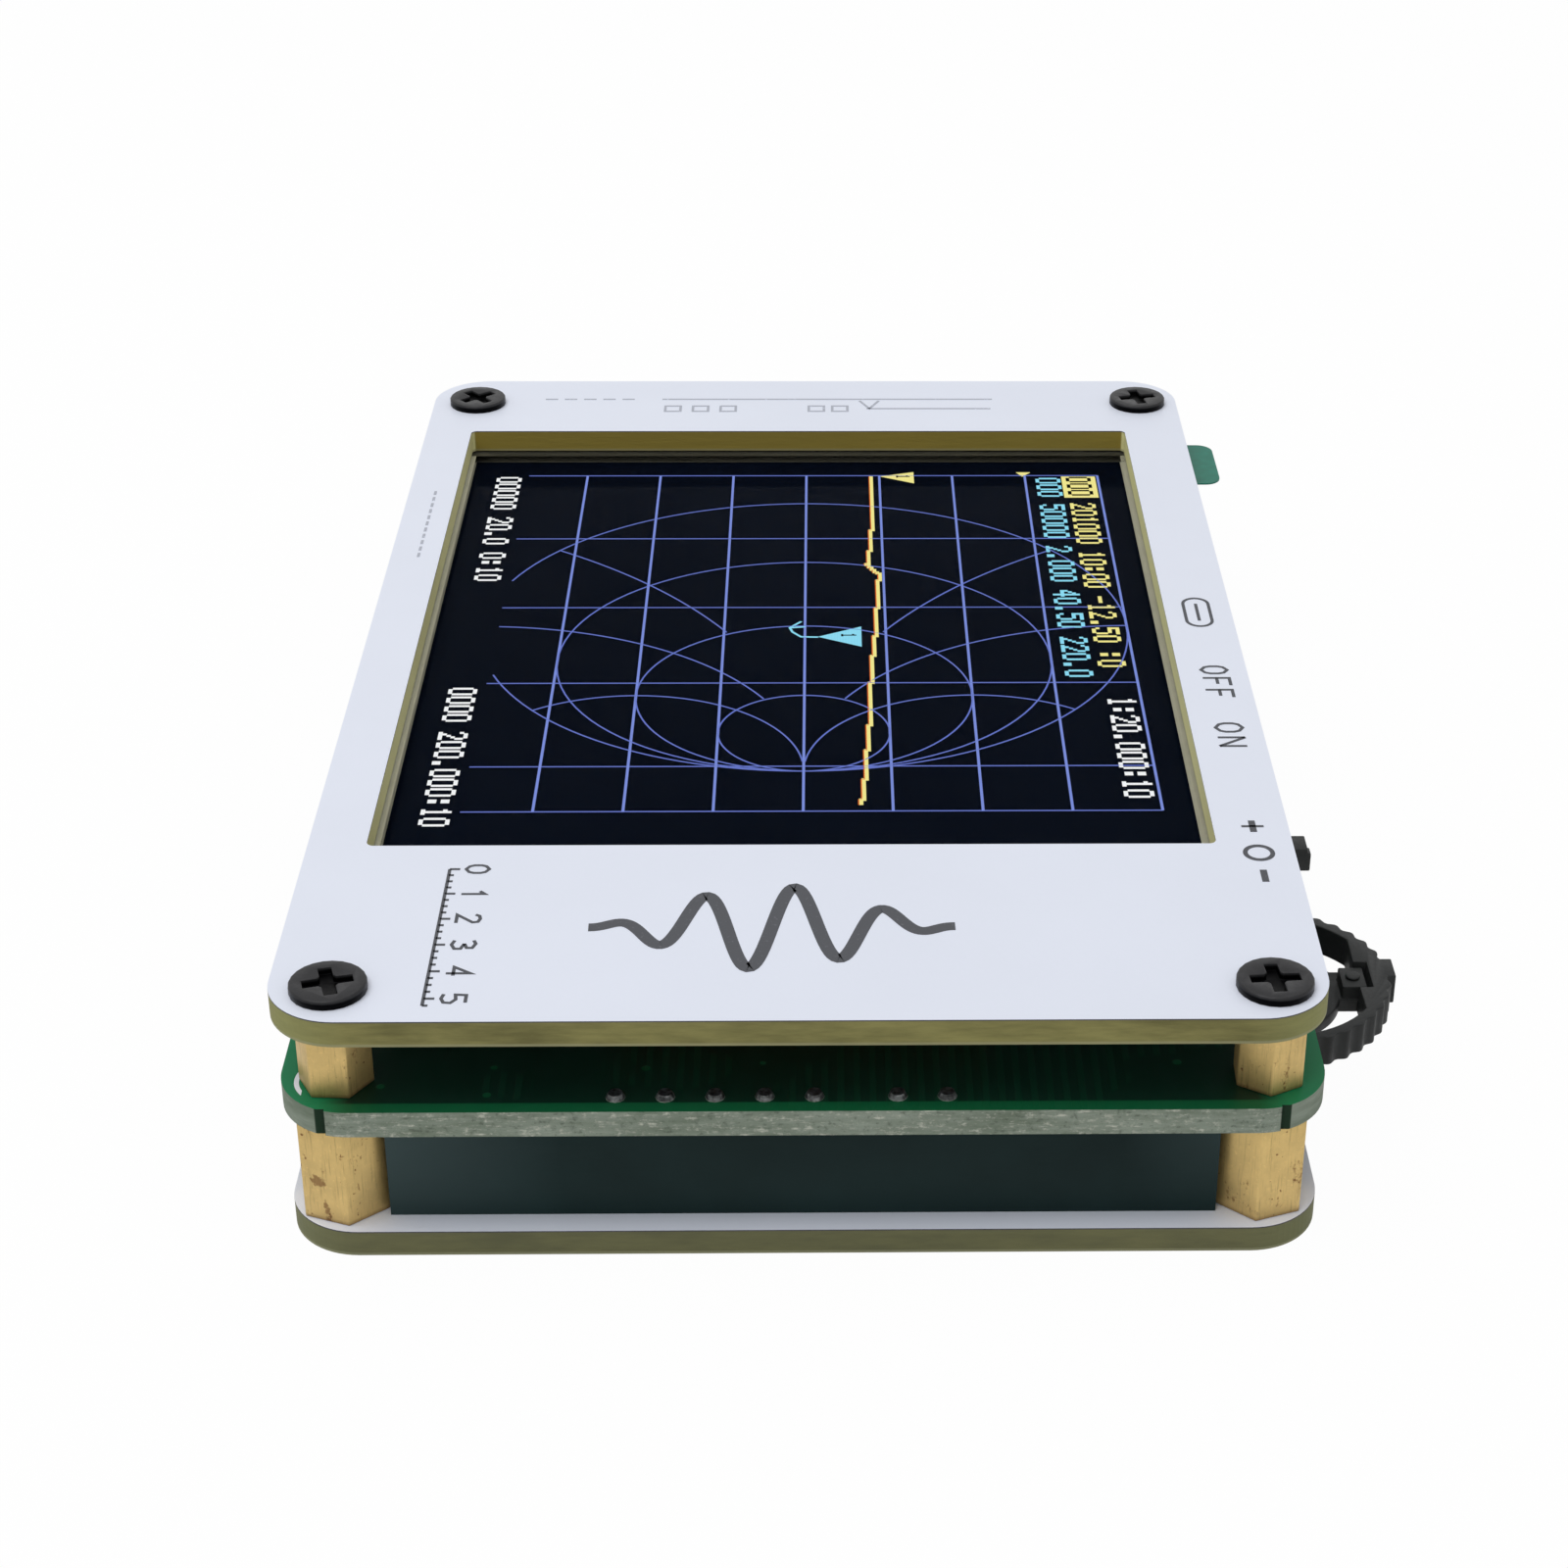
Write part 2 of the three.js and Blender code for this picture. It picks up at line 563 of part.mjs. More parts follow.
const usb = { width: 8.94, height: 3.26, depth: 7.3, wall: 0.3, standOut: 0.7, radius: 1.5 };
const usbTongue = { width: 6.69, height: 0.7, length: 4.6 };
const usbY = [caseY[1] + edgeRow.socketGap, caseY[1] + edgeRow.socketGap + usb.width];
const usbX = [mainRight + usb.standOut - usb.depth, mainRight + usb.standOut];
const usbZ = [mainUnderside - usb.height, mainUnderside];

function usbShell() {
  const inner = roundedRectangle(
    [usbY[0] + usb.wall, usbY[1] - usb.wall],
    [usbZ[0] + usb.wall, usbZ[1] - usb.wall],
    usb.radius - usb.wall,
  );
  const bore = sectionAlongX(inner, [usbX[0] + usb.wall, usbX[1] + overrun]);
  return sectionAlongX(roundedRectangle(usbY, usbZ, usb.radius), usbX).subtract(bore);
}

function usbContactTongue() {
  const back = usbX[0] + usb.wall;
  const y = span(middle(usbY), usbTongue.width);
  return block([back, back + usbTongue.length], y, span(middle(usbZ), usbTongue.height));
}

add('usb_shell', usbShell(), materials.steel);
add('usb_tongue', usbContactTongue(), materials.blackPlastic);

// Jog switch: a base under the main board, a carriage that is pushed inwards, and a serrated lever wheel that
// turns on the carriage's pin and springs back

const jogInset = 1.45;
const jog = { x: mainRight - jogInset, y: nearEdge + edgeRow.jogInset };
const jogWheel = {
  outerRadius: 6.95, toothDepth: 0.22, innerRadius: 6.15, sweep: 112, teeth: 38, toothSteps: 6,
  topGap: 0.3, height: 1.8, hubRadius: 4.2, webHeight: 0.8, bossRadius: 2.1,
};
const jogSegment = { chord: 5.05 };
const jogSpoke = { width: 2.9, shift: 0.25 };
const jogPost = { x: 4.85, y: -0.1, width: 1.35, length: 2, height: 0.8, moat: 0.28 };
const jogTab = { reach: 7.25, width: 1.8, y: 0.6, root: 1.5 };
const jogPin = { radius: 1, headRadius: 1.5, headHeight: 0.5 };
const jogBase = {
  backDepth: 2.5, backWidth: 8, backHeight: 3.5, width: 6.6, height: 1.05, edgeInset: 0.2, reach: 5.65,
};
const jogPlate = { width: 4, thickness: 0.7, reach: 2.2, backGap: 0.6, slotDepth: 1.9 };

const wheelZ = [mainUnderside - jogWheel.topGap - jogWheel.height, mainUnderside - jogWheel.topGap];
const webZ = [wheelZ[0], wheelZ[0] + jogWheel.webHeight];
const plateZ = [webZ[1] + fit.clear, webZ[1] + fit.clear + jogPlate.thickness];
const backX = [jog.x - jogBase.reach, jog.x - jogBase.reach + jogBase.backDepth];

// The serrated rim and its inner edge, between two angles either side of +X.
function rimOutline() {
  const sweep = THREE.MathUtils.degToRad(jogWheel.sweep);
  const count = Math.round(jogWheel.sweep / 180 * jogWheel.teeth) * jogWheel.toothSteps;
  const outer = Array.from({ length: count + 1 }, (_, k) => {
    const angle = sweep * (2 * k / count - 1);
    const radius = jogWheel.outerRadius - jogWheel.toothDepth * (1 - Math.cos(jogWheel.teeth * angle)) / 2;
    return new THREE.Vector2(radius * Math.cos(angle), radius * Math.sin(angle));
  });
  const shape = new THREE.Shape(outer);
  shape.absarc(0, 0, jogWheel.innerRadius, sweep, -sweep, true);
  return shape;
}

// A slice of a disc, between the same two angles.
function discSlice(radius) {
  const sweep = THREE.MathUtils.degToRad(jogWheel.sweep);
  const shape = new THREE.Shape();
  shape.moveTo(0, 0);
  shape.absarc(0, 0, radius, -sweep, sweep);
  return shape;
}

function lever() {
  const rimRadius = (jogWheel.innerRadius + jogWheel.outerRadius - jogWheel.toothDepth) / 2;
  const rim = slab(rimOutline(), wheelZ, steps.rod);
  const web = slab(discSlice(jogWheel.hubRadius), webZ, steps.rod);
  const boss = rod(jogWheel.bossRadius, webZ);
  const segment = slab(discSlice(rimRadius), wheelZ, steps.rod)
    .intersect(block([jogSegment.chord, jogWheel.outerRadius], span(0, 2 * jogWheel.outerRadius), wheelZ));
  const spoke = block([0, jogSegment.chord + overrun], span(jogSpoke.shift, jogSpoke.width), webZ);
  const postX = span(jogPost.x, jogPost.width);
  const postY = span(jogPost.y, jogPost.length);
  const moat = block(
    [postX[0] - jogPost.moat, postX[1] + jogPost.moat],
    [postY[0] - jogPost.moat, postY[1] + jogPost.moat],
    [webZ[1], wheelZ[1] + overrun],
  );
  const post = block(postX, postY, [wheelZ[0], webZ[1] + jogPost.height]);
  const tab = block([jogTab.reach - jogTab.root, jogTab.reach], span(jogTab.y, jogTab.width), wheelZ);
  const bore = rod(jogPin.radius + fit.running, [wheelZ[0] - overrun, wheelZ[1] + overrun]);
  return joined([rim, web, boss, segment, spoke, tab]).subtract(moat).add(post).subtract(bore)
    .translate([jog.x, jog.y, 0]);
}

const plateX = [backX[1] - jogPlate.slotDepth + jogPlate.backGap, jog.x + jogPlate.reach];

function carriage() {
  const plate = block(plateX, span(jog.y, jogPlate.width), plateZ);
  const headTop = wheelZ[0] - fit.clear;
  const pin = rod(jogPin.radius, [headTop - jogPin.headHeight, plateZ[1]], jog);
  const head = rod(jogPin.headRadius, [headTop - jogPin.headHeight, headTop], jog);
  return joined([plate, pin, head]);
}

function jogHousing() {
  const right = mainRight - jogBase.edgeInset;
  const backZ = [mainUnderside - jogBase.backHeight, mainUnderside];
  const back = block(backX, span(jog.y, jogBase.backWidth), backZ);
  const railZ = [mainUnderside - jogBase.height, mainUnderside];
  const rails = block([backX[0], right], span(jog.y, jogBase.width), railZ);
  const slot = block(
    [backX[1] - jogPlate.slotDepth, right + overrun],
    span(jog.y, jogPlate.width + 2 * fit.clear),
    [plateZ[0] - fit.clear, plateZ[1] + fit.running],
  );
  return joined([back, rails]).subtract(slot);
}

add('jog_base', jogHousing(), materials.blackPlastic);
add('jog_carriage', carriage(), materials.blackPlastic);
add('jog_wheel', lever(), materials.blackPlastic);

// Antenna ports: threaded jacks that straddle the main board's far edge, their contacts soldered underneath

const port = {
  offset: 13, axisDrop: 0.45, flange: 6.35, flangeDepth: 1.6, length: 9.5, threadRadius: 3.175,
  neckRadius: 2.65, neckLength: 1.2, pitch: 0.706, ridgeDepth: 0.3, ridges: 8, boreRadius: 2.1,
};
const portLeg = { width: 1.1, thickness: 1, length: 4.2, spacing: 5.2 };
const insulator = { radius: 2.0, tipInset: 0.1 };
const contact = {
  radius: 0.64, socketRadius: 0.45, socketDepth: 2.6, tipInset: 0.3, tailWidth: 0.8, tailLength: 4,
};

const portZ = mainUnderside - port.axisDrop;
const flangeY = [farEdge, farEdge + port.flangeDepth];
const portTip = farEdge + port.length;

// A solid of revolution about a line along Y, from its radii and places along that line.
function turned(profile, x) {
  const points = profile.map(([radius, y]) => new THREE.Vector2(radius, y));
  return solidOf(new THREE.LatheGeometry(points, steps.port).translate(x, 0, portZ));
}

function portBody(x) {
  const flange = block(span(x, port.flange), flangeY, span(portZ, port.flange));
  const legs = [-1, 1].flatMap((side) => {
    const legX = span(x + side * portLeg.spacing / 2, portLeg.width);
    const legY = [flangeY[0] - portLeg.length, flangeY[0] + overrun];
    return [
      block(legX, legY, [mainUnderside - portLeg.thickness, mainUnderside]),
      block(legX, legY, [mainTop, mainTop + portLeg.thickness]),
    ];
  });
  const threadStart = flangeY[1] + port.neckLength;
  const ridges = Array.from({ length: port.ridges }, (_, k) => {
    const foot = threadStart + k * port.pitch;
    return [
      [port.threadRadius - port.ridgeDepth, foot],
      [port.threadRadius, foot + port.pitch / 2],
    ];
  }).flat();
  const threadEnd = threadStart + port.ridges * port.pitch;
  const barrel = turned([
    [port.boreRadius, flangeY[1] - overrun],
    [port.neckRadius, flangeY[1] - overrun],
    [port.neckRadius, threadStart],
    ...ridges,
    [port.threadRadius - port.ridgeDepth, threadEnd],
    [port.threadRadius - port.ridgeDepth, portTip],
    [port.boreRadius, portTip],
    [port.boreRadius, flangeY[1] - overrun],
  ], x);
  const bore = turned([
    [0, flangeY[0] - overrun],
    [port.boreRadius, flangeY[0] - overrun],
    [port.boreRadius, portTip + overrun],
    [0, portTip + overrun],
  ], x);
  return joined([flange, barrel, ...legs]).subtract(bore);
}

function portInsulator(x) {
  const y = [flangeY[0], portTip - insulator.tipInset];
  const core = contact.radius + fit.running / 2;
  const rim = insulator.radius;
  return turned([[core, y[0]], [rim, y[0]], [rim, y[1]], [core, y[1]], [core, y[0]]], x);
}

function portContact(x) {
  const tip = portTip - contact.tipInset;
  const floor = tip - contact.socketDepth;
  const sleeve = turned([
    [0, flangeY[0]],
    [contact.radius, flangeY[0]],
    [contact.radius, tip],
    [contact.socketRadius, tip],
    [contact.socketRadius, floor],
    [0, floor],
  ], x);
  const tailY = [flangeY[0] - contact.tailLength, flangeY[0] + overrun];
  const tail = block(span(x, contact.tailWidth), tailY, [portZ, mainUnderside]);
  return joined([sleeve, tail]);
}

[['left', -port.offset], ['right', port.offset]].forEach(([side, x]) => {
  add(`port_body_${side}`, portBody(x), materials.gold);
  add(`port_insulator_${side}`, portInsulator(x), materials.whitePlastic);
  add(`port_contact_${side}`, portContact(x), materials.gold);
});

// Radio and logic parts, soldered to the main board's underside

// The clock and the mixers stand in two rows in the can, placed from its near and far walls.
const canRow = { nearInset: 3.5, farInset: 5.5, clockShift: -3, crystalShift: 3.5, mixerPitch: 6 };
const nearRowY = shieldY[0] + canRow.nearInset;
const farRowY = shieldY[1] - canRow.farInset;
const mixer = { y: farRowY, width: 3.9, length: 4.9, height: 1.5 };
const logic = { leftInset: 11.3, farInset: 14.25 };
const packages = {
  microcontroller: {
    x: mainLeft + logic.leftInset, y: farEdge - logic.farInset, width: 7, length: 7, height: 1.4,
  },
  clock_generator: { x: shieldCan.x + canRow.clockShift, y: nearRowY, width: 3, length: 3, height: 0.9 },
  clock_crystal: { x: shieldCan.x + canRow.crystalShift, y: nearRowY, width: 3.2, length: 2.5, height: 0.7 },
  mixer_left: { x: shieldCan.x - canRow.mixerPitch, ...mixer },
  mixer_middle: { x: shieldCan.x, ...mixer },
  mixer_right: { x: shieldCan.x + canRow.mixerPitch, ...mixer },
};
const charger = { width: 4, length: 4, height: 1.1, rightInset: 2.6 };

function shield() {
  const x = span(shieldCan.x, shieldCan.width);
  const bottom = mainUnderside - shieldCan.height;
  const hollow = block(
    [x[0] + shieldCan.wall, x[1] - shieldCan.wall],
    [shieldY[0] + shieldCan.wall, shieldY[1] - shieldCan.wall],
    [bottom + shieldCan.wall, mainUnderside + overrun],
  );
  return block(x, shieldY, [bottom, mainUnderside]).subtract(hollow);
}

add('shield_can', shield(), materials.steel);
Object.entries(packages).forEach(([name, chip]) => {
  const z = [mainUnderside - chip.height, mainUnderside];
  add(name, block(span(chip.x, chip.width), span(chip.y, chip.length), z), materials.chip);
});

const chargerX = [mainRight - charger.rightInset - charger.width, mainRight - charger.rightInset];
const chargerY = [usbY[1] + edgeRow.chargerGap, usbY[1] + edgeRow.chargerGap + charger.length];
const chargerZ = [mainUnderside - charger.height, mainUnderside];
add('charger_chip', block(chargerX, chargerY, chargerZ), materials.chip);

export default analyzer;
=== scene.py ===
"""Looks of the pocket antenna analyzer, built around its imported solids, and the stage that it lies on."""
import math
from functools import reduce

import bpy
from bpy.props import FloatProperty, FloatVectorProperty, PointerProperty
from mathutils import Matrix, Vector


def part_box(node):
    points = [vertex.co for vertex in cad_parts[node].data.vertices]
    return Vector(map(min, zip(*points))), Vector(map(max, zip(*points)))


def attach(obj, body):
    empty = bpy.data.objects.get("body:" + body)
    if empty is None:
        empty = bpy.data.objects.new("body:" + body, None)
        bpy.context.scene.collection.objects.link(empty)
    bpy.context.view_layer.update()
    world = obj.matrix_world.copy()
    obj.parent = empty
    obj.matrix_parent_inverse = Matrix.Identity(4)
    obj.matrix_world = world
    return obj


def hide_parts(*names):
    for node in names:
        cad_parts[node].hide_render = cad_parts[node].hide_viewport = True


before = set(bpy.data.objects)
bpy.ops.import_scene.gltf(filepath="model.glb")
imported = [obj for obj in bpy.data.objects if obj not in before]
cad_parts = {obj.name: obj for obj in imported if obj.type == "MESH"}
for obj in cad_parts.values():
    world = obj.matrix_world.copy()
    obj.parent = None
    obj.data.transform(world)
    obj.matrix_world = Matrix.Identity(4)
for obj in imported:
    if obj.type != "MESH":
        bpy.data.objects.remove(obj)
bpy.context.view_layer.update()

bl_info = {
    "name": "Antenna analyzer looks",
    "version": (1, 0, 0),
    "blender": (4, 5, 0),
    "location": "View3D > Sidebar > Analyzer",
    "description": "Dresses the packed antenna analyzer and sets up the stage that it lies on",
    "category": "Object",
}

MM = 0.001
# Each character is seven rows of five dots, a row's dots being the bits of its number.
DOT_ROWS, DOT_COLUMNS = 7, 5
DOTS = {
    "0": (14, 17, 17, 17, 17, 17, 14),
    "1": (4, 12, 4, 4, 4, 4, 14),
    "2": (14, 17, 1, 2, 4, 8, 31),
    "3": (31, 2, 4, 2, 1, 17, 14),
    "4": (2, 6, 10, 18, 31, 2, 2),
    "5": (31, 16, 30, 1, 1, 17, 14),
    "6": (6, 8, 16, 30, 17, 17, 14),
    "7": (31, 1, 2, 4, 8, 8, 8),
    "8": (14, 17, 17, 14, 17, 17, 14),
    "9": (14, 17, 17, 15, 1, 2, 12),
    ".": (0, 0, 0, 0, 0, 12, 12),
    ":": (0, 12, 12, 0, 12, 12, 0),
    "-": (0, 0, 0, 31, 0, 0, 0),
}
# Single-stroke letters and digits, in shares of their width and height.
OVAL = [
    (0.5, 0), (0.12, 0.15), (0, 0.35), (0, 0.65), (0.12, 0.85), (0.5, 1), (0.88, 0.85), (1, 0.65), (1, 0.35),
    (0.88, 0.15), (0.5, 0),
]
LETTERS = {
    "O": [OVAL],
    "F": [[(0, 0), (0, 1), (1, 1)], [(0, 0.52), (0.8, 0.52)]],
    "N": [[(0, 0), (0, 1)], [(0, 1), (1, 0)], [(1, 0), (1, 1)]],
    "0": [OVAL],
    "1": [[(0.2, 0.78), (0.55, 1), (0.55, 0)]],
    "2": [[(0, 0.78), (0.15, 0.95), (0.5, 1), (0.88, 0.92), (0.95, 0.7), (0, 0), (1, 0)]],
    "3": [[(0, 0.9), (0.4, 1), (0.9, 0.88), (0.9, 0.65), (0.4, 0.53)],
          [(0.4, 0.53), (1, 0.4), (1, 0.14), (0.5, 0), (0, 0.1)]],
    "4": [[(0.75, 0), (0.75, 1), (0, 0.3), (1, 0.3)]],
    "5": [[(0.95, 1), (0.1, 1), (0.05, 0.56), (0.6, 0.6), (1, 0.4), (0.95, 0.12), (0.5, 0), (0, 0.08)]],
}
CORNERS = [f"{end}_{side}" for end in ("near", "far") for side in ("left", "right")]
WHITE_LIGHT = (1.0, 1.0, 1.0, 1.0)

# Heights and edges, from the imported parts
COVER_LOW, COVER_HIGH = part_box("top_cover")
MAIN_LOW, MAIN_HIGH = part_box("main_board")
MAIN_MIDDLE, MAIN_HALF = (MAIN_LOW + MAIN_HIGH) / 2, (MAIN_HIGH - MAIN_LOW) / 2
BASE_LOW, BASE_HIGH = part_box("bottom_cover")
TOUCH_LOW, TOUCH_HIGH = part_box("touch_panel")
CELL_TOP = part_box("display_cell")[1].z
# The main board's box takes in its solder joints, so its upper face is found from the boards' thickness.
MAIN_TOP = MAIN_LOW.z + COVER_HIGH.z - COVER_LOW.z

# What the window shows of the screen, along X
WINDOW_X = (-23.8 * MM, 22.8 * MM)
# Distances from the middle, along X and Y, over which the window's walls end and the pale corners begin
WINDOW_FADE = ((24.2 * MM, 24.0 * MM), (33.8 * MM, 33.6 * MM))
CORNER_FADE = ((22.6 * MM, 25.6 * MM), (38.2 * MM, 41.2 * MM))
# Brown blotches on the near left spacer: middle X and Z, half width and half height, in millimetres
BLOTCHES = ((-24.95, 4.0, 0.4, 0.34), (-24.6, 2.35, 0.14, 0.5))
NEAR_SPACERS_Y = -38 * MM


def linear(levels):
    """Colour levels from 0 to 255, as seen, turned into the linear values that shaders take."""
    shares = [level / 255 for level in levels]
    return [s / 12.92 if s <= 0.04045 else ((s + 0.055) / 1.055) ** 2.4 for s in shares]


def colour(name, description, levels):
    """A colour's setting, from its levels."""
    return FloatVectorProperty(
        name=name, description=description, subtype="COLOR", size=3, min=0, max=1, default=linear(levels)
    )


def size(name, description, millimetres):
    """A length's setting, from millimetres."""
    return FloatProperty(
        name=name, description=description, unit="LENGTH", min=0, precision=6, default=millimetres * MM
    )


def position(name, description, millimetres):
    """The setting of a place along an axis, from millimetres."""
    return FloatProperty(
        name=name, description=description, unit="LENGTH", precision=6, default=millimetres * MM
    )


def angle(name, description, degrees):
    """An angle's setting, from degrees."""
    return FloatProperty(name=name, description=description, subtype="ANGLE", default=math.radians(degrees))


def share(name, description, value):
    """The setting of a share from 0 to 1."""
    return FloatProperty(name=name, description=description, subtype="FACTOR", min=0, max=1, default=value)


# Settings


class BoardLooks(bpy.types.PropertyGroup):
    """Solder mask, laminate edges and solder"""

    white: colour("White mask", "Mask of the two covers", (233, 238, 251))
    green: colour("Green mask", "Mask of the main board over bare laminate", (10, 66, 42))
    # Darker green inside the board: partly the mask over copper, partly painted shade standing for the top
    # cover's shadow.
    copper_and_shade_green: colour("Green over copper", "Mask of the main board over copper", (6, 42, 28))
    # Paler green for the vias and for the near and far ends; at the ends it is partly mask where the copper
    # stops short and partly painted light reaching under the top cover's edge.
    pale_and_lit_green: colour("Green border", "Mask along the main board's near and far ends", (11, 88, 51))
    # Painted light: a paler green along the board's sides, where light reaches past the top cover's shadow.
    lit_side_green: colour("Green sides", "Mask along the main board's sides", (22, 122, 78))
    # Painted shade: dark green standing for the inside of the break-off slots, which the mesh doesn't cut.
    slot_shade_green: colour("Slot", "Inside of the break-off slots", (26, 48, 32))
    cover_edge: colour("Cover edge", "Cut laminate of the covers", (143, 138, 82))
    cover_edge_dark: colour("Cover edge, dark", "Darker streaks in the covers' cut laminate", (106, 102, 56))
    cover_corner: colour("Cover corner", "Cut laminate at the covers' corners", (152, 154, 98))
    lower_edge: colour("Lower cover edge", "Greyer laminate of the bottom cover", (84, 89, 69))
    low_line: colour("Low line", "Pale line along the foot of a cut edge", (160, 160, 128))
    # The window's walls: lit and shaded copies of the cut laminate by the way they face, painted light on the
    # sides and painted shade on the ends.
    lit_window_sides: colour("Window sides", "Cut laminate at the screen window's sides", (238, 234, 172))
    shaded_window_ends: colour("Window ends", "Cut laminate at the screen window's ends", (156, 138, 60))
    main_edge: colour("Main board edge", "Cut laminate of the main board", (152, 162, 149))
    main_edge_dark: colour("Main board edge, dark", "Darker streaks in its cut laminate", (114, 126, 110))
    main_edge_light: colour("Main board fibres", "Frayed fibres on the main board's edge", (196, 200, 186))
    seam: colour("Seam", "Thin dark line between mask and laminate", (62, 60, 76))
    solder: colour("Solder", "Tinned joints", (120, 122, 122))
    mask_roughness: share("Mask roughness", "Roughness of the solder mask", 0.42)
    seam_height: size("Seam height", "Height of the dark line under the mask", 0.085)
    slot_inset: size("Slot inset", "Distance of the break-off slots from the main board's sides", 2.4)
    slot_width: size("Slot width", "Width of a break-off slot", 0.48)
    border_ends: size("End border", "Width of the paler green along the near and far ends", 0.85)
    lit_side_width: size("Side border", "Width of the paler green along the sides", 3.8)
    # Width of the band of painted light along the board's sides.
    ring_radius: size("Ring radius", "Radius of the white arcs beside the spacers", 2.05)
    ring_width: size("Ring width", "Width of the white arcs beside the spacers", 0.25)


class MetalLooks(bpy.types.PropertyGroup):
    """Brass, steel, gold and blackened screws"""

    brass: colour("Brass", "Turned brass of the spacers", (218, 188, 123))
    # Brass stains also gives the painted shade where the spacers meet the boards.
    brass_dark: colour("Brass stains", "Brown pits and stains on the brass", (120, 78, 42))
    black: colour("Blackened steel", "Top screws", (34, 34, 36))
    steel: colour("Steel", "Shells, cans and bottom screws", (150, 152, 156))
    gold: colour("Gold", "Plating of the antenna ports", (222, 182, 92))
    edge: size("Edge rounding", "Rounding of the metal pieces' edges", 0.07)
    screw_edge: size("Screw edge", "Rounding of the top screws' edges", 0.045)


class PlasticLooks(bpy.types.PropertyGroup):
    """Moulded plastics, films, tapes and insulation"""

    black: colour("Black plastic", "Wheel, knob and base", (32, 34, 34))
    chip: colour("Chip epoxy", "Chip packages", (34, 35, 37))
    white: colour("White plastic", "Plugs, sockets and insulators", (234, 232, 224))
    wrap: colour("Battery wrap", "Wrap of the battery", (30, 48, 48))
    # Painted sheen: a paler colour standing for a reflection on the battery's wrap.
    painted_wrap_sheen: colour("Battery wrap, sheen", "Paler sheen on the battery's wrap", (88, 106, 108))
    amber: colour("Amber film", "Flexible circuit and insulating tape", (172, 108, 38))
    tape: colour("Mounting tape", "Foam tape under the screen", (38, 40, 43))
    tab: colour("Film tab", "Pull tab of the screen film", (22, 122, 102))
    red: colour("Red lead", "Insulation of the positive lead", (178, 38, 30))
    dark: colour("Black lead", "Insulation of the negative lead", (30, 30, 32))
    edge: size("Edge rounding", "Rounding of the moulded pieces' edges", 0.08)
    post_top: size("Post top", "Height of the wheel's post above the floor", 7.0)
    nub_radius: size("Nub radius", "Radius of the nub on the wheel's post", 0.42)
    nub_height: size("Nub height", "Height of the nub above the post", 0.18)
    nub_place: FloatVectorProperty(
        name="Nub place", description="Middle of the nub on the wheel's post", subtype="XYZ", unit="LENGTH",
        size=2, default=(30.6 * MM, -27.3 * MM),
    )


class SmallPartLooks(bpy.types.PropertyGroup):
    """Resistors, capacitors and chip legs under the main board"""

    dark: colour("Resistor", "Body of a resistor", (30, 31, 33))
    tan: colour("Capacitor", "Body of a capacitor", (142, 114, 84))
    tin: colour("Tin", "Tinned ends and legs", (190, 192, 194))
    length: size("Length", "Length of a small part", 1.6)
    width: size("Width", "Width of a small part", 0.8)
    height: size("Height", "Height of a small part", 0.5)
    end: size("End", "Length of a tinned end", 0.3)
    leg_width: size("Leg width", "Width of a chip's leg", 0.34)
    leg_pitch: size("Leg pitch", "Distance from one leg to the next", 0.8)


class ScreenLooks(bpy.types.PropertyGroup):
    """The glass and what is drawn on it"""

    glass: colour("Glass", "The screen where it is dark", (5, 9, 19))
    border: colour("Border", "Printed border of the touch panel", (186, 184, 162))
    line: colour("Grid", "Grid lines along Y", (128, 147, 224))
    faint: colour("Grid rows", "Grid lines along X, circles and arcs", (106, 123, 206))
    trace: colour("Trace", "First trace and its readings", (250, 240, 150))
    rim: colour("Trace rim", "Warm rim of the first trace", (226, 110, 40))
    dark: colour("Dark numbers", "Numbers inside the markers", (16, 16, 10))
    second: colour("Second trace", "Second trace and its readings", (146, 226, 250))
    words: colour("Readings", "White readings", (252, 254, 255))
    border_width: size("Border width", "Width of the touch panel's border that the window shows", 0.31)
    border_far: size("Border, far end", "Width of the touch panel's border at the far end", 3.4)
    line_width: size("Line width", "Width of a grid line", 0.165)
    pitch_x: size("Grid pitch X", "Distance between grid lines along X", 5.157)
    pitch_y: size("Grid pitch Y", "Distance between grid lines along Y", 10.679)
    middle_x: position("Middle line", "Place of the grid's middle line", 0.05)
    far_y: position("Far line", "Place of the grid's far line", 30.14)
    thickness: size("Drawing thickness", "Thickness of the drawn lines", 0.02)
    dot_x: size("Dot along X", "Size of a screen dot along X", 0.178)
    dot_y: size("Dot along Y", "Size of a screen dot along Y", 0.166)
    character_pitch: size("Character pitch", "Distance from one character to the next", 1.15)
    left_x: position("Left end", "Where the drawing ends on the left", -19.55)


class LabelLooks(bpy.types.PropertyGroup):
    """Printed marks on the top cover"""

    ink: colour("Ink", "Dark print", (66, 68, 74))
    faint: colour("Faint ink", "Lighter print at the far and left edges", (176, 180, 192))
    stroke: size("Stroke", "Width of a printed stroke", 0.2)
    motif_stroke: size("Motif stroke", "Width of the motif's strokes", 0.75)
    thickness: size("Ink thickness", "Height of the print above the mask", 0.02)


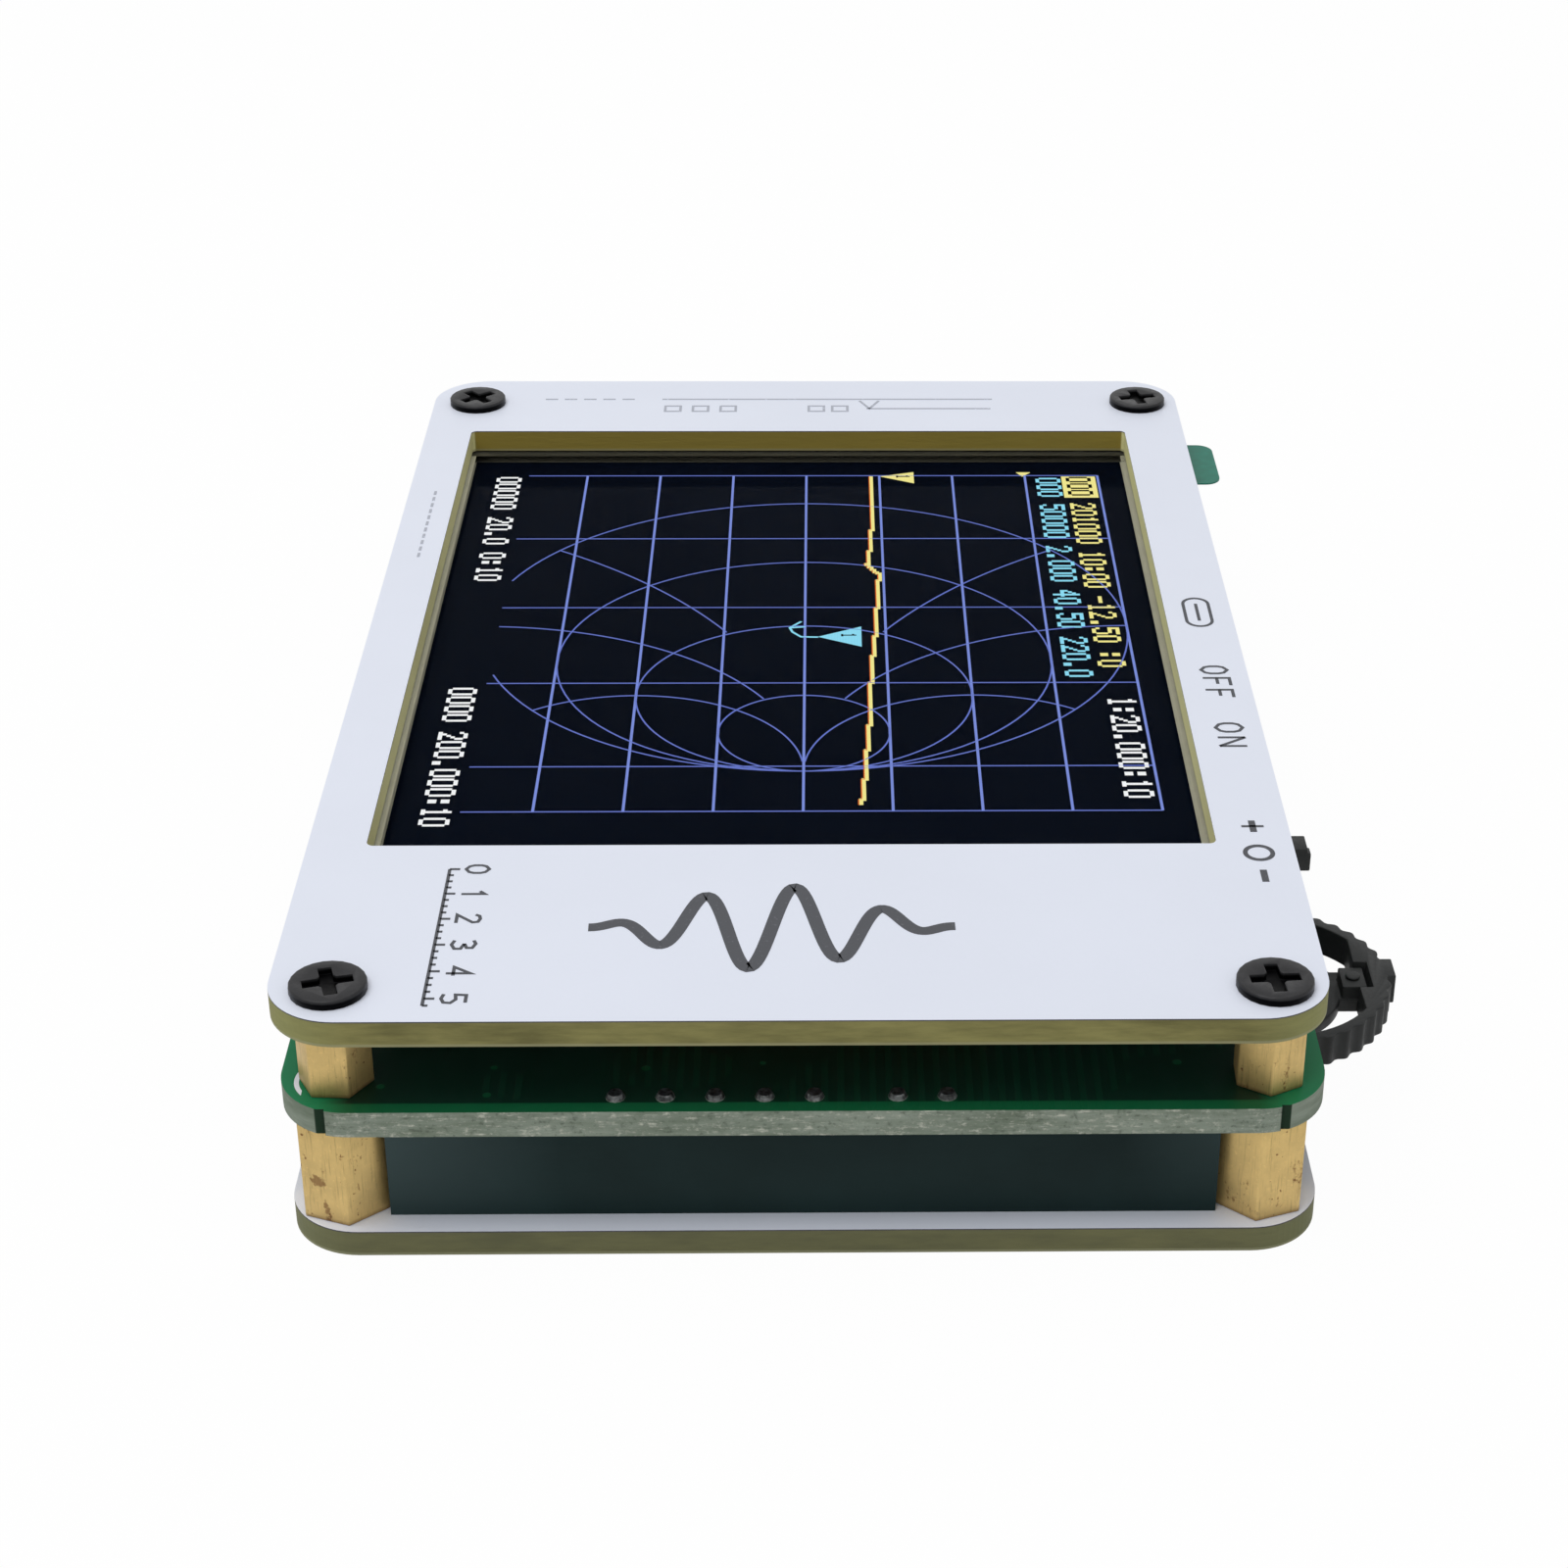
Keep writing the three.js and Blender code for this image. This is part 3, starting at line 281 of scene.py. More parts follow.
class StageLooks(bpy.types.PropertyGroup):
    """Camera, light and floor"""

    place: FloatVectorProperty(
        name="Camera place", description="Where the camera stands", subtype="TRANSLATION", size=3,
        default=(1.25 * MM, -170.96 * MM, 99.5 * MM),
    )
    pitch: angle("Pitch", "How far the camera looks down", 29.146)
    yaw: angle("Yaw", "How far the camera looks to the right", 1.234)
    roll: angle("Roll", "How far the camera is turned about its own line", 0.456)
    lens: FloatProperty(name="Lens", description="Focal length in millimetres", default=70.605)
    shift_x: FloatProperty(name="Shift", description="Sideways shift of the lens", default=-0.0625)
    floor: colour("Floor", "Pale floor", (246, 246, 246))
    floor_gap: size("Floor gap", "Gap between the floor and the bottom cover", 0.02)
    floor_inset: size("Floor inset", "Distance from the cover's edge to the opening under it", 0.25)
    corner: size("Corner", "Corner radius of the bottom cover", 3.8)
    ambient: FloatProperty(name="Ambient", description="Strength of the light from all round", default=0.45)
    key: FloatProperty(name="Key lamp", description="Power of the large lamp above, in watts", default=2.0)
    key_size: size("Key lamp size", "Side of the large lamp", 500)
    key_height: size("Key lamp height", "Height of the large lamp", 600)


# Node maths


class Value:
    """A socket in a material's maths. Sums, products and comparisons add Math nodes."""

    def __init__(self, finish, socket):
        self.finish = finish
        self.socket = socket

    def maths(self, operation, first, second=0.0):
        return self.finish.node("ShaderNodeMath", {"operation": operation}, {0: first, 1: second})

    def __add__(self, other):
        return self.maths("ADD", self, other)

    def __radd__(self, other):
        return self.maths("ADD", other, self)

    def __sub__(self, other):
        return self.maths("SUBTRACT", self, other)

    def __rsub__(self, other):
        return self.maths("SUBTRACT", other, self)

    def __mul__(self, other):
        return self.maths("MULTIPLY", self, other)

    def __rmul__(self, other):
        return self.maths("MULTIPLY", other, self)

    def __truediv__(self, other):
        return self.maths("DIVIDE", self, other)

    def __gt__(self, other):
        return self.maths("GREATER_THAN", self, other)

    def __lt__(self, other):
        return self.maths("LESS_THAN", self, other)

    def __abs__(self):
        return self.maths("ABSOLUTE", self)

    def most(self, other):
        return self.maths("MAXIMUM", self, other)

    def wave(self, length):
        """A sine that repeats after this length."""
        return self.maths("SINE", self * (2 * math.pi / length))


def largest(values):
    """The largest of several values."""
    return reduce(Value.most, values)


def shaded(paint, amount, lift=0.0):
    """A colour made darker or paler by an amount, and lifted."""
    return [min(1.0, part * amount + lift) for part in paint]


def solid(value):
    """A three-part colour gets its alpha; anything else stays as it is."""
    if isinstance(value, (Value, int, float)):
        return value
    parts = tuple(value)
    return (*parts, 1.0) if len(parts) == 3 else parts


class Finish:
    """The nodes of a material, or of the world, under construction."""

    def __init__(self, name, owner=None):
        self.owner = owner or bpy.data.materials.new(name)
        self.owner.use_nodes = True
        self.nodes = self.owner.node_tree.nodes
        self.links = self.owner.node_tree.links
        self.nodes.clear()

    def node(self, kind, settings=None, inputs=None, output=0):
        """Adds a node: its settings first, then the values or links of its sockets."""
        made = self.nodes.new(kind)
        for key, value in (settings or {}).items():
            setattr(made, key, value)
        for key, value in (inputs or {}).items():
            if isinstance(value, Value):
                self.links.new(value.socket, made.inputs[key])
            else:
                made.inputs[key].default_value = value
        return Value(self, made.outputs[output])

    def place(self):
        """Object coordinates, and their X, Y and Z."""
        spot = self.node("ShaderNodeTexCoord", output="Object")
        parts = [self.node("ShaderNodeSeparateXYZ", inputs={0: spot}, output=axis) for axis in range(3)]
        return spot, parts

    def facing(self, axis):
        """How far the surface faces along an axis, either way, from 0 to 1."""
        normal = self.node("ShaderNodeTexCoord", output="Normal")
        return abs(self.node("ShaderNodeSeparateXYZ", inputs={0: normal}, output=axis))

    def flat(self):
        """1 on level faces and 0 on upright ones."""
        return self.band(self.facing(2), 0.5, 0.6)

    def rays(self, *kinds):
        """1 for light rays of these kinds and 0 for others."""
        return largest([self.node("ShaderNodeLightPath", output=f"Is {kind} Ray") for kind in kinds])

    def noise(self, spot, scale, detail=3.0, roughness=0.55):
        """Soft noise from 0 to 1. Its scale is in waves to the metre, one number or one for each axis."""
        if isinstance(scale, tuple):
            spot, scale = self.node("ShaderNodeMapping", inputs={"Vector": spot, "Scale": scale}), 1.0
        inputs = {"Vector": spot, "Scale": scale, "Detail": detail, "Roughness": roughness}
        return self.node("ShaderNodeTexNoise", inputs=inputs)

    def band(self, value, low, high):
        """0 at low, 1 at high, a straight change between them, and no change beyond them."""
        inputs = {"Value": value, "From Min": low, "From Max": high}
        return self.node("ShaderNodeMapRange", inputs=inputs)

    def mix(self, factor, first, second):
        """The first colour at 0, the second at 1."""
        settings = {"data_type": "RGBA"}
        return self.node("ShaderNodeMix", settings, {0: factor, 6: solid(first), 7: solid(second)}, output=2)

    def clouded(self, spot, scale, paint, amount):
        """A colour with soft patches in which it is shaded by an amount."""
        return self.mix(self.band(self.noise(spot, scale), 0.3, 0.7), paint, shaded(paint, amount))

    def bump(self, height, distance):
        """The surface's direction with a relief in it."""
        return self.node("ShaderNodeBump", inputs={"Height": height, "Distance": distance, "Strength": 1.0})

    def surface(self, **sockets):
        """A Principled shader with these sockets, underscores standing for spaces."""
        inputs = {key.replace("_", " "): solid(value) for key, value in sockets.items()}
        return self.node("ShaderNodeBsdfPrincipled", inputs=inputs)

    def covered(self, **sockets):
        """The material, closed with a Principled shader."""
        return self.close(self.surface(**sockets))

    def clear(self, shader, seen):
        """The material, closed as a clear sheet that carries this shader where seen is 1."""
        through = self.node("ShaderNodeBsdfTransparent")
        return self.close(self.node("ShaderNodeMixShader", inputs={0: seen, 1: through, 2: shader}))

    def close(self, shader, kind="ShaderNodeOutputMaterial"):
        """Links the shader to an output node, and gives back what owns the nodes."""
        shown = self.nodes.new(kind)
        self.links.new(shader.socket, shown.inputs["Surface"])
        return self.owner


def dress(material, *names):
    """Gives CAD nodes or new pieces their material."""
    for name in names:
        piece = bpy.data.objects[name]
        piece.data.materials.clear()
        piece.data.materials.append(material)


# Finishes


def laminate(finish, spot, light, dark):
    """The colour of a board's cut edge, and the height of its glass layers."""
    layers = finish.noise(spot, (420.0, 420.0, 2600.0), 4.0, 0.6)
    blots = finish.noise(spot, (120.0, 120.0, 400.0), 2.0)
    tone = finish.mix(finish.band(layers * 0.5 + blots * 0.5, 0.36, 0.64), dark, light)
    return tone, layers


def frayed(finish, spot, x, y, looks, tone, layers):
    """Frayed fibres between the break-off slots, in rows of broken light strokes, and painted shade for the
    slots.
    """
    rows = finish.noise(spot, (700.0, 700.0, 4600.0), 4.0, 0.75)
    breaks = finish.noise(spot, (2400.0, 2400.0, 2800.0), 3.0, 0.7)
    reach, half_slot = MAIN_HALF.x - looks.slot_inset, looks.slot_width / 2
    away = abs(x - MAIN_MIDDLE.x)
    inside = finish.band(away, reach, reach - 0.1 * MM)
    light = finish.band(rows * 0.55 + breaks * 0.45, 0.52, 0.62) * inside
    deep = finish.band(rows * 0.4 + breaks * 0.6, 0.44, 0.36) * inside
    tone = finish.mix(light, tone, looks.main_edge_light)
    tone = finish.mix(deep * 0.55, tone, shaded(looks.main_edge_dark, 0.45))
    # Painted shade for the break-off slots at the near end, where the mesh has no recess.
    slot = finish.band(abs(away - reach), half_slot + 0.06 * MM, half_slot) * (y < 0)
    return finish.mix(slot, tone, looks.slot_shade_green), layers + light * 0.8 - deep * 0.6


def cover_finish(name, low, high, looks, tint):
    """A cover: white mask on its faces and olive laminate on its cut edges, lighter at the corners."""
    finish = Finish(name)
    spot, (x, y, z) = finish.place()
    flat = finish.flat()
    fine = finish.noise(spot, 2600.0, 2.0)
    face = finish.clouded(spot, 90.0, looks.white, 0.975)
    cut, layers = laminate(finish, spot, looks.cover_edge, looks.cover_edge_dark)
    corner, window = [
        finish.band(abs(x), *fade_x) * finish.band(abs(y), *fade_y)
        for fade_x, fade_y in (CORNER_FADE, WINDOW_FADE)
    ]
    cut = finish.mix(corner * 0.6, cut, looks.cover_corner)
    # Painted light and shade: the window's walls that face along X get the lit laminate, those that face
    # along Y the shaded one.
    wall = finish.mix(finish.band(finish.facing(0), 0.4, 0.6), looks.shaded_window_ends, looks.lit_window_sides)
    cut = finish.mix(window, finish.mix(tint, cut, looks.lower_edge), wall)
    top_line = 1.0 - finish.band(high - z, looks.seam_height * 0.6, looks.seam_height)
    low_line = 1.0 - finish.band(z - low, looks.seam_height * 1.4, looks.seam_height * 2.2)
    cut = finish.mix(low_line * 0.5, cut, looks.low_line)
    cut = finish.mix(top_line, cut, looks.seam)
    height = flat * fine + (1.0 - flat) * layers * 3.0
    return finish.covered(
        Base_Color=finish.mix(flat, cut, face), Roughness=flat * looks.mask_roughness + (1.0 - flat) * 0.72,
        Normal=finish.bump(height, 0.01 * MM), Specular_IOR_Level=0.4,
    )


def main_board_finish(looks):
    """The main board: green mask, darker inside with painted shade and paler along its border, where the
    copper stops at its ends and painted light falls on its ends and sides, with vias; grey, frayed laminate;
    solder joints.
    """
    finish = Finish("main_board")
    spot, (x, y, z) = finish.place()
    flat = finish.flat()
    # The paler ends: partly mask without copper, partly painted light reaching under the top cover's edge.
    ends = finish.band(MAIN_HALF.y - abs(y - MAIN_MIDDLE.y), looks.border_ends, looks.border_ends * 0.9)
    # Painted light along the sides, where light reaches past the top cover's shadow.
    sides = finish.band(MAIN_HALF.x - abs(x - MAIN_MIDDLE.x), looks.lit_side_width, looks.lit_side_width * 0.6)
    cells = {"Vector": spot, "Scale": 420.0, "Randomness": 1.0}
    via = finish.band(finish.node("ShaderNodeTexVoronoi", {"voronoi_dimensions": "3D"}, cells), 0.11, 0.09)
    grid = finish.node("ShaderNodeTexWave", {"bands_direction": "X"}, {"Vector": spot, "Scale": 380.0})
    traces = finish.band(grid, 0.6, 0.66) * finish.band(finish.noise(spot, 70.0), 0.52, 0.54)
    cloud = finish.band(finish.noise(spot, 160.0), 0.3, 0.7)
    # The mask over copper is darkened with painted shade, standing for the top cover's shadow on the board.
    mask = finish.mix(cloud * 0.4, looks.copper_and_shade_green, shaded(looks.copper_and_shade_green, 0.7))
    for seen, paint in (
        (traces * 0.35, looks.green), (via * 0.7, looks.pale_and_lit_green), (ends, looks.pale_and_lit_green),
        (sides, looks.lit_side_green), (spacer_rings(finish, x, y, looks), looks.white),
    ):
        mask = finish.mix(seen, mask, paint)
    cut, layers = laminate(finish, spot, looks.main_edge, looks.main_edge_dark)
    cut, relief = frayed(finish, spot, x, y, looks, cut, layers)
    joint = finish.band(z, MAIN_TOP + 0.01 * MM, MAIN_TOP + 0.03 * MM)
    dull = finish.band(finish.noise(spot, 3000.0), 0.4, 0.65)
    tin = finish.mix(dull, shaded(looks.solder, 0.3), looks.solder)
    height = flat * (traces + via) * 0.5 + (1.0 - flat) * relief * 3.0
    return finish.covered(
        Base_Color=finish.mix(joint, finish.mix(flat, cut, mask), tin),
        Roughness=flat * looks.mask_roughness + (1.0 - flat) * 0.75 - joint * 0.3,
        Normal=finish.bump(height, 0.015 * MM), Metallic=joint, Specular_IOR_Level=0.15,
    )


def spacer_rings(finish, x, y, looks):
    """White arcs printed beside the left spacers, towards the board's side."""
    rings = []
    for corner in ("near_left", "far_left"):
        low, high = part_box(f"upper_spacer_{corner}")
        away_x, away_y = x - (low.x + high.x) / 2, y - (low.y + high.y) / 2
        distance = finish.node(
            "ShaderNodeMath", {"operation": "SQRT"}, {0: away_x * away_x + away_y * away_y}
        )
        outward = away_x < looks.ring_radius * -0.8
        rings.append((abs(distance - looks.ring_radius) < looks.ring_width / 2) * outward)
    return largest(rings)


def blotches(finish, spot, x, y, z):
    """Ragged brown blotches on the near left spacer."""
    ragged = (finish.noise(spot, 3200.0) - 0.5) * 5.0
    found = []
    for middle_x, middle_z, half_x, half_z in BLOTCHES:
        away_x = (x - middle_x * MM) / (half_x * MM)
        away_z = (z - middle_z * MM) / (half_z * MM)
        found.append(finish.band(away_x * away_x + away_z * away_z + ragged, 1.3, 0.5))
    return largest(found) * (y < NEAR_SPACERS_Y) * 0.8


def brass_finish(looks):
    """Dull brass with drawn lines along Z, brown stains, small pits, and painted shade where it meets the
    boards.
    """
    finish = Finish("turned_brass")
    spot, (x, y, z) = finish.place()
    drawn = finish.noise(spot, (7000.0, 7000.0, 500.0), 3.0, 0.65)
    cloud = finish.noise(spot, 700.0, 4.0, 0.65)
    speck = finish.noise(spot, 5200.0, 2.0, 0.6)
    stain = finish.band(finish.noise(spot, (620.0, 620.0, 300.0), 5.0, 0.7), 0.59, 0.65)
    pits = finish.band(finish.noise(spot, 2400.0, 2.0), 0.69, 0.75)
    marks = largest([stain * finish.band(speck, 0.4, 0.55), pits, blotches(finish, spot, x, y, z)])
    tone = finish.mix(finish.band(cloud, 0.3, 0.7), shaded(looks.brass, 0.82), looks.brass)
    tone = finish.mix(finish.band(drawn, 0.54, 0.7) * 0.6, tone, shaded(looks.brass, 0.5))
    tone = finish.mix(finish.band(speck, 0.6, 0.75) * 0.35, tone, shaded(looks.brass, 1.3))
    tone = finish.mix(marks * 0.85, tone, looks.brass_dark)
    # Painted shade where the spacers meet the boards, fading out over 0.28 mm.
    levels = (BASE_HIGH.z, MAIN_LOW.z, MAIN_TOP, COVER_LOW.z)
    contact_shade = largest([finish.band(abs(z - level), 0.28 * MM, 0.05 * MM) for level in levels])
    return finish.covered(
        Base_Color=finish.mix(contact_shade * 0.55, tone, shaded(looks.brass_dark, 0.8)), Metallic=0.7,
        Roughness=0.4 + drawn * 0.16 + marks * 0.15,
        Normal=finish.bump(drawn * 0.6 + speck * 0.4 - marks * 0.8, 0.01 * MM),
    )


def screw_finish(looks, top):
    """Blackened steel, rubbed on its flats, with painted shade inside the cross recess."""
    finish = Finish("blackened_steel")
    spot, (_, _, z) = finish.place()
    fine = finish.noise(spot, 2600.0, 4.0, 0.65)
    rubbed = finish.band(finish.noise(spot, 900.0, 4.0, 0.65), 0.5, 0.75)
    # Painted shade, deepening into the cross recess.
    deep = finish.band(z, top - 0.1 * MM, top - 0.2 * MM)
    base = finish.mix(rubbed * 0.4, looks.black, shaded(looks.black, 2.4))
    return finish.covered(
        Base_Color=finish.mix(deep * 0.9, base, shaded(looks.black, 0.12)), Metallic=0.3 + deep * 0.7,
        Roughness=0.42 + (fine - 0.5) * 0.3, Normal=finish.bump(fine, 0.008 * MM), Specular_IOR_Level=0.3,
    )


def metal_finish(name, paint, roughness, metallic=0.95):
    """Plated or rolled metal with fine grain."""
    finish = Finish(name)
    spot, _ = finish.place()
    fine = finish.noise(spot, 2600.0, 4.0, 0.6)
    return finish.covered(
        Base_Color=paint, Metallic=metallic, Roughness=roughness + (fine - 0.5) * 0.24,
        Normal=finish.bump(fine, 0.006 * MM),
    )


def plastic_finish(name, paint, roughness, grain, depth, variation=0.12, coat=0.0):
    """Moulded plastic with a faint cloudiness, and a spark-eroded grain of this depth in millimetres."""
    finish = Finish(name)
    spot, _ = finish.place()
    fine = finish.noise(spot, grain)
    base = finish.clouded(spot, 240.0, paint, 1 - variation)
    return finish.covered(
        Base_Color=base, Roughness=roughness + (fine - 0.5) * 0.2, Normal=finish.bump(fine, depth * MM),
        Coat_Weight=coat, Specular_IOR_Level=0.26,
    )


def wrap_finish(plastic):
    """The battery's dark foil wrap, with a painted sheen towards its sides, stronger higher up, and faint
    creases.
    """
    finish = Finish("battery_wrap")
    spot, (x, _, z) = finish.place()
    low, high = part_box("battery_cell")
    crease = finish.noise(spot, (160.0, 160.0, 900.0), 4.0)
    height = finish.band(z, BASE_HIGH.z + 0.5 * MM, MAIN_LOW.z)
    # Painted reflection: a paler sheen towards both sides of the battery, stronger higher up.
    left_sheen = finish.band(x, low.x + 9 * MM, low.x) * (0.35 + height * 0.65)
    right_sheen = finish.band(x, high.x - 5 * MM, high.x) * height * 0.5
    base = finish.clouded(spot, 120.0, plastic.wrap, 0.7)
    return finish.covered(
        Base_Color=finish.mix(left_sheen.most(right_sheen) * 0.6, base, plastic.painted_wrap_sheen),
        Roughness=0.35 + crease * 0.2, Normal=finish.bump(crease, 0.03 * MM), Specular_IOR_Level=0.08,
    )


def glass_finish(screen):
    """The dark glass that the drawing lies over."""
    finish = Finish("display_glass")
    spot, _ = finish.place()
    base = finish.mix(finish.noise(spot, 60.0), screen.glass, shaded(screen.glass, 1.6))
    return finish.covered(Base_Color=base, Roughness=0.06, Specular_IOR_Level=0.003)


def glow_finish(name, paint):
    """Lit screen elements, with the slight unevenness of their pixel rows."""
    finish = Finish(name)
    _, (x, y, _) = finish.place()
    rows = x.wave(0.18 * MM) + y.wave(0.18 * MM)
    return finish.covered(
        Base_Color=(0, 0, 0), Emission_Color=finish.mix(0.5 + rows * 0.08, shaded(paint, 0.8), paint),
        Emission_Strength=1.0, Roughness=0.6, Specular_IOR_Level=0.0,
    )


def film_finish(paint):
    """The screen film: clear over the screen, a green tab past the touch panel's edge."""
    finish = Finish("screen_film")
    spot, (x, _, _) = finish.place()
    green = finish.clouded(spot, 1500.0, paint, 0.8)
    tab = finish.surface(Base_Color=green, Roughness=0.35, Specular_IOR_Level=0.15)
    return finish.clear(tab, x > TOUCH_HIGH.x)


def touch_finish(screen):
    """The touch panel: clear inside, with a printed grey border that is darkened with painted shade at the
    far end.
    """
    finish = Finish("touch_panel")
    spot, (x, y, _) = finish.place()
    side = (x < WINDOW_X[0] + screen.border_width).most(x > WINDOW_X[1] - screen.border_width)
    far = y > TOUCH_HIGH.y - screen.border_far
    grey = finish.clouded(spot, 400.0, screen.border, 0.9)
    # Painted shade: the border is darkened at the far end, where the top cover shades it.
    grey = finish.mix(far, grey, shaded(screen.border, 0.12))
    return finish.clear(finish.surface(Base_Color=grey, Roughness=0.5), side.most(far))


def flex_finish(plastic):
    """Amber film with copper conductors showing as lighter lines across its width."""
    finish = Finish("flexible_circuit")
    _, (x, _, _) = finish.place()
    lines = finish.band(x.wave(0.8 * MM), -0.1, 0.2)
    return finish.covered(
        Base_Color=finish.mix(lines, shaded(plastic.amber, 0.5), plastic.amber), Roughness=0.32,
        Normal=finish.bump(lines, 0.01 * MM), Coat_Weight=0.3,
    )


def ink_finish(name, paint):
    """Screen-printed ink, thinner in small spots."""
    finish = Finish(name)
    spot, _ = finish.place()
    grain = finish.noise(spot, 4200.0)
    thin = finish.band(grain, 0.62, 0.72)
    return finish.covered(
        Base_Color=finish.mix(thin, paint, shaded(paint, 1.8, 0.02)), Roughness=0.6,
        Normal=finish.bump(grain, 0.006 * MM),
    )


# Making pieces


def select_only(*pieces):
    """Selects these pieces alone, the first of them active."""
    bpy.ops.object.select_all(action="DESELECT")
    for piece in pieces:
        piece.select_set(True)
    bpy.context.view_layer.objects.active = pieces[0]


def in_metres(points):
    """X, Y points that are given in millimetres."""
    return [(x * MM, y * MM) for x, y in points]


def ride_stack(piece, body="stack"):
    """Puts a finished piece on its body."""
    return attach(piece, body)


def settled(piece, name):
    """Names a piece and moves its place into its mesh."""
    select_only(piece)
    bpy.ops.object.transform_apply(location=True, rotation=True, scale=True)
    piece.name = name
    piece.data.name = name
    return piece


def joined(name, pieces):
    """One piece out of several."""
    select_only(*pieces)
    bpy.ops.object.join()
    return settled(bpy.context.view_layer.objects.active, name)


def moved(piece, place, turn=0.0, axis="Z"):
    """Turns a piece's mesh about an axis through the origin, then moves it by place."""
    piece.data.transform(Matrix.Translation(place) @ Matrix.Rotation(turn, 4, axis))
    return piece


def copied(piece, place, turn=0.0):
    """A copy with its own mesh, turned about Z and then moved by place."""
    copy = piece.copy()
    copy.data = piece.data.copy()
    bpy.context.scene.collection.objects.link(copy)
    return moved(copy, place, turn)


def rounded(piece, width, segments=2, limit=30.0):
    """Rounds the active piece's edges where its faces turn by more than limit, in degrees."""
    rounding = piece.modifiers.new("rounding", "BEVEL")
    rounding.width = width
    rounding.segments = segments
    rounding.limit_method = "ANGLE"
    rounding.angle_limit = math.radians(limit)
    bpy.ops.object.modifier_apply(modifier=rounding.name)
    return piece


def faced_outwards(piece):
    """Turns the active piece's faces outwards."""
    bpy.ops.object.mode_set(mode="EDIT")
    bpy.ops.mesh.select_all(action="SELECT")
    bpy.ops.mesh.normals_make_consistent(inside=False)
    bpy.ops.object.mode_set(mode="OBJECT")
    return piece


def block(name, low, high, easing=0.0):
    """A block between two corners, with its edges eased."""
    bpy.ops.object.select_all(action="DESELECT")
    middle = [(a + b) / 2 for a, b in zip(low, high)]
    bpy.ops.mesh.primitive_cube_add(size=1.0, location=middle)
    piece = bpy.context.view_layer.objects.active
    piece.scale = [b - a for a, b in zip(low, high)]
    settled(piece, name)
    return rounded(piece, easing) if easing else piece


def path(points, low):
    """A new piece in edit mode, all of it selected: one line through X, Y points at one height."""
    bpy.ops.object.select_all(action="DESELECT")
    bpy.ops.mesh.primitive_plane_add(size=MM, location=(*points[0], low))
    bpy.ops.object.mode_set(mode="EDIT")
    bpy.ops.mesh.merge(type="CENTER")
    for (x0, y0), (x1, y1) in zip(points, points[1:]):
        bpy.ops.mesh.extrude_vertices_move(TRANSFORM_OT_translate={"value": (x1 - x0, y1 - y0, 0)})
    bpy.ops.mesh.select_all(action="SELECT")


def fence(points, low, high):
    """A thin upright wall along X, Y points, from one height to another."""
    path(points, low)
    if points[0] == points[-1]:
        bpy.ops.mesh.remove_doubles(threshold=0.001 * MM)
    bpy.ops.mesh.extrude_edges_move(TRANSFORM_OT_translate={"value": (0, 0, high - low)})
    bpy.ops.object.mode_set(mode="OBJECT")
    return bpy.context.view_layer.objects.active


def strokes(name, paths, width, low, high):
    """Lines of one width along lists of X, Y points, as one piece."""
    piece = joined(name, [fence(points, low, high) for points in paths])
    walls = piece.modifiers.new("width", "SOLIDIFY")
    walls.thickness = width
    walls.offset = 0.0
    walls.use_even_offset = True
    walls.thickness_clamp = 0.0
    bpy.ops.object.modifier_apply(modifier=walls.name)
    return faced_outwards(piece)


def arc(centre, radii, start, end, count):
    """Points on an ellipse's arc, angles in degrees from +X."""
    angles = [math.radians(start + (end - start) * k / count) for k in range(count + 1)]
    points = [(centre[0] + radii[0] * math.cos(a), centre[1] + radii[1] * math.sin(a)) for a in angles]
    if (end - start) % 360 == 0:
        points[-1] = points[0]
    return points


def plate(name, points, low, high):
    """A flat plate with this outline, between two heights."""
    path(points, low)
    bpy.ops.mesh.edge_face_add()
    bpy.ops.mesh.extrude_region_move(TRANSFORM_OT_translate={"value": (0, 0, high - low)})
    bpy.ops.object.mode_set(mode="OBJECT")
    return faced_outwards(settled(bpy.context.view_layer.objects.active, name))


def dotted(name, words, dot, base, start, pitch, low, high):
    """A row of characters made of eased dots, written along -Y with their tops towards +X."""
    half_x, half_y = dot[0] / 2, dot[1] * 0.62
    cell = block("dot", (-half_x, -half_y, low), (half_x, half_y, high), dot[0] * 0.08)
    dots = []
    for index, character in enumerate(words):
        for row, bits in enumerate(DOTS.get(character, ())):
            for column in range(DOT_COLUMNS):
                if bits >> (DOT_COLUMNS - 1 - column) & 1:
                    up = (DOT_ROWS - 0.5 - row) * dot[0]
                    along = index * pitch + (column + 0.5) * dot[1]
                    dots.append(copied(cell, (base + up, start - along, 0)))
    bpy.data.objects.remove(cell)
    return joined(name, dots)


def refined(node, edge, body="stack", keep_angle=35.0):
    """A copy of a CAD node with its sharp edges rounded, which stands for the node."""
    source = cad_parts[node]
    piece = bpy.data.objects.new(f"{node}_body", source.data.copy())
    bpy.context.scene.collection.objects.link(piece)
    select_only(piece)
    bpy.ops.object.mode_set(mode="EDIT")
    bpy.ops.mesh.select_all(action="SELECT")
    bpy.ops.mesh.remove_doubles(threshold=0.0005 * MM)
    bpy.ops.mesh.dissolve_limited(angle_limit=math.radians(1.0))
    bpy.ops.object.mode_set(mode="OBJECT")
    rounded(piece, edge, limit=keep_angle)
    bpy.ops.object.shade_smooth_by_angle(angle=math.radians(keep_angle))
    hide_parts(node)
    return ride_stack(piece, body)


# Operators


class AnalyzerOperator:
    """What the analyzer's operators share."""

    bl_options = {"REGISTER", "UNDO"}

    def execute(self, context):
        self.make(context.scene)
        return {"FINISHED"}


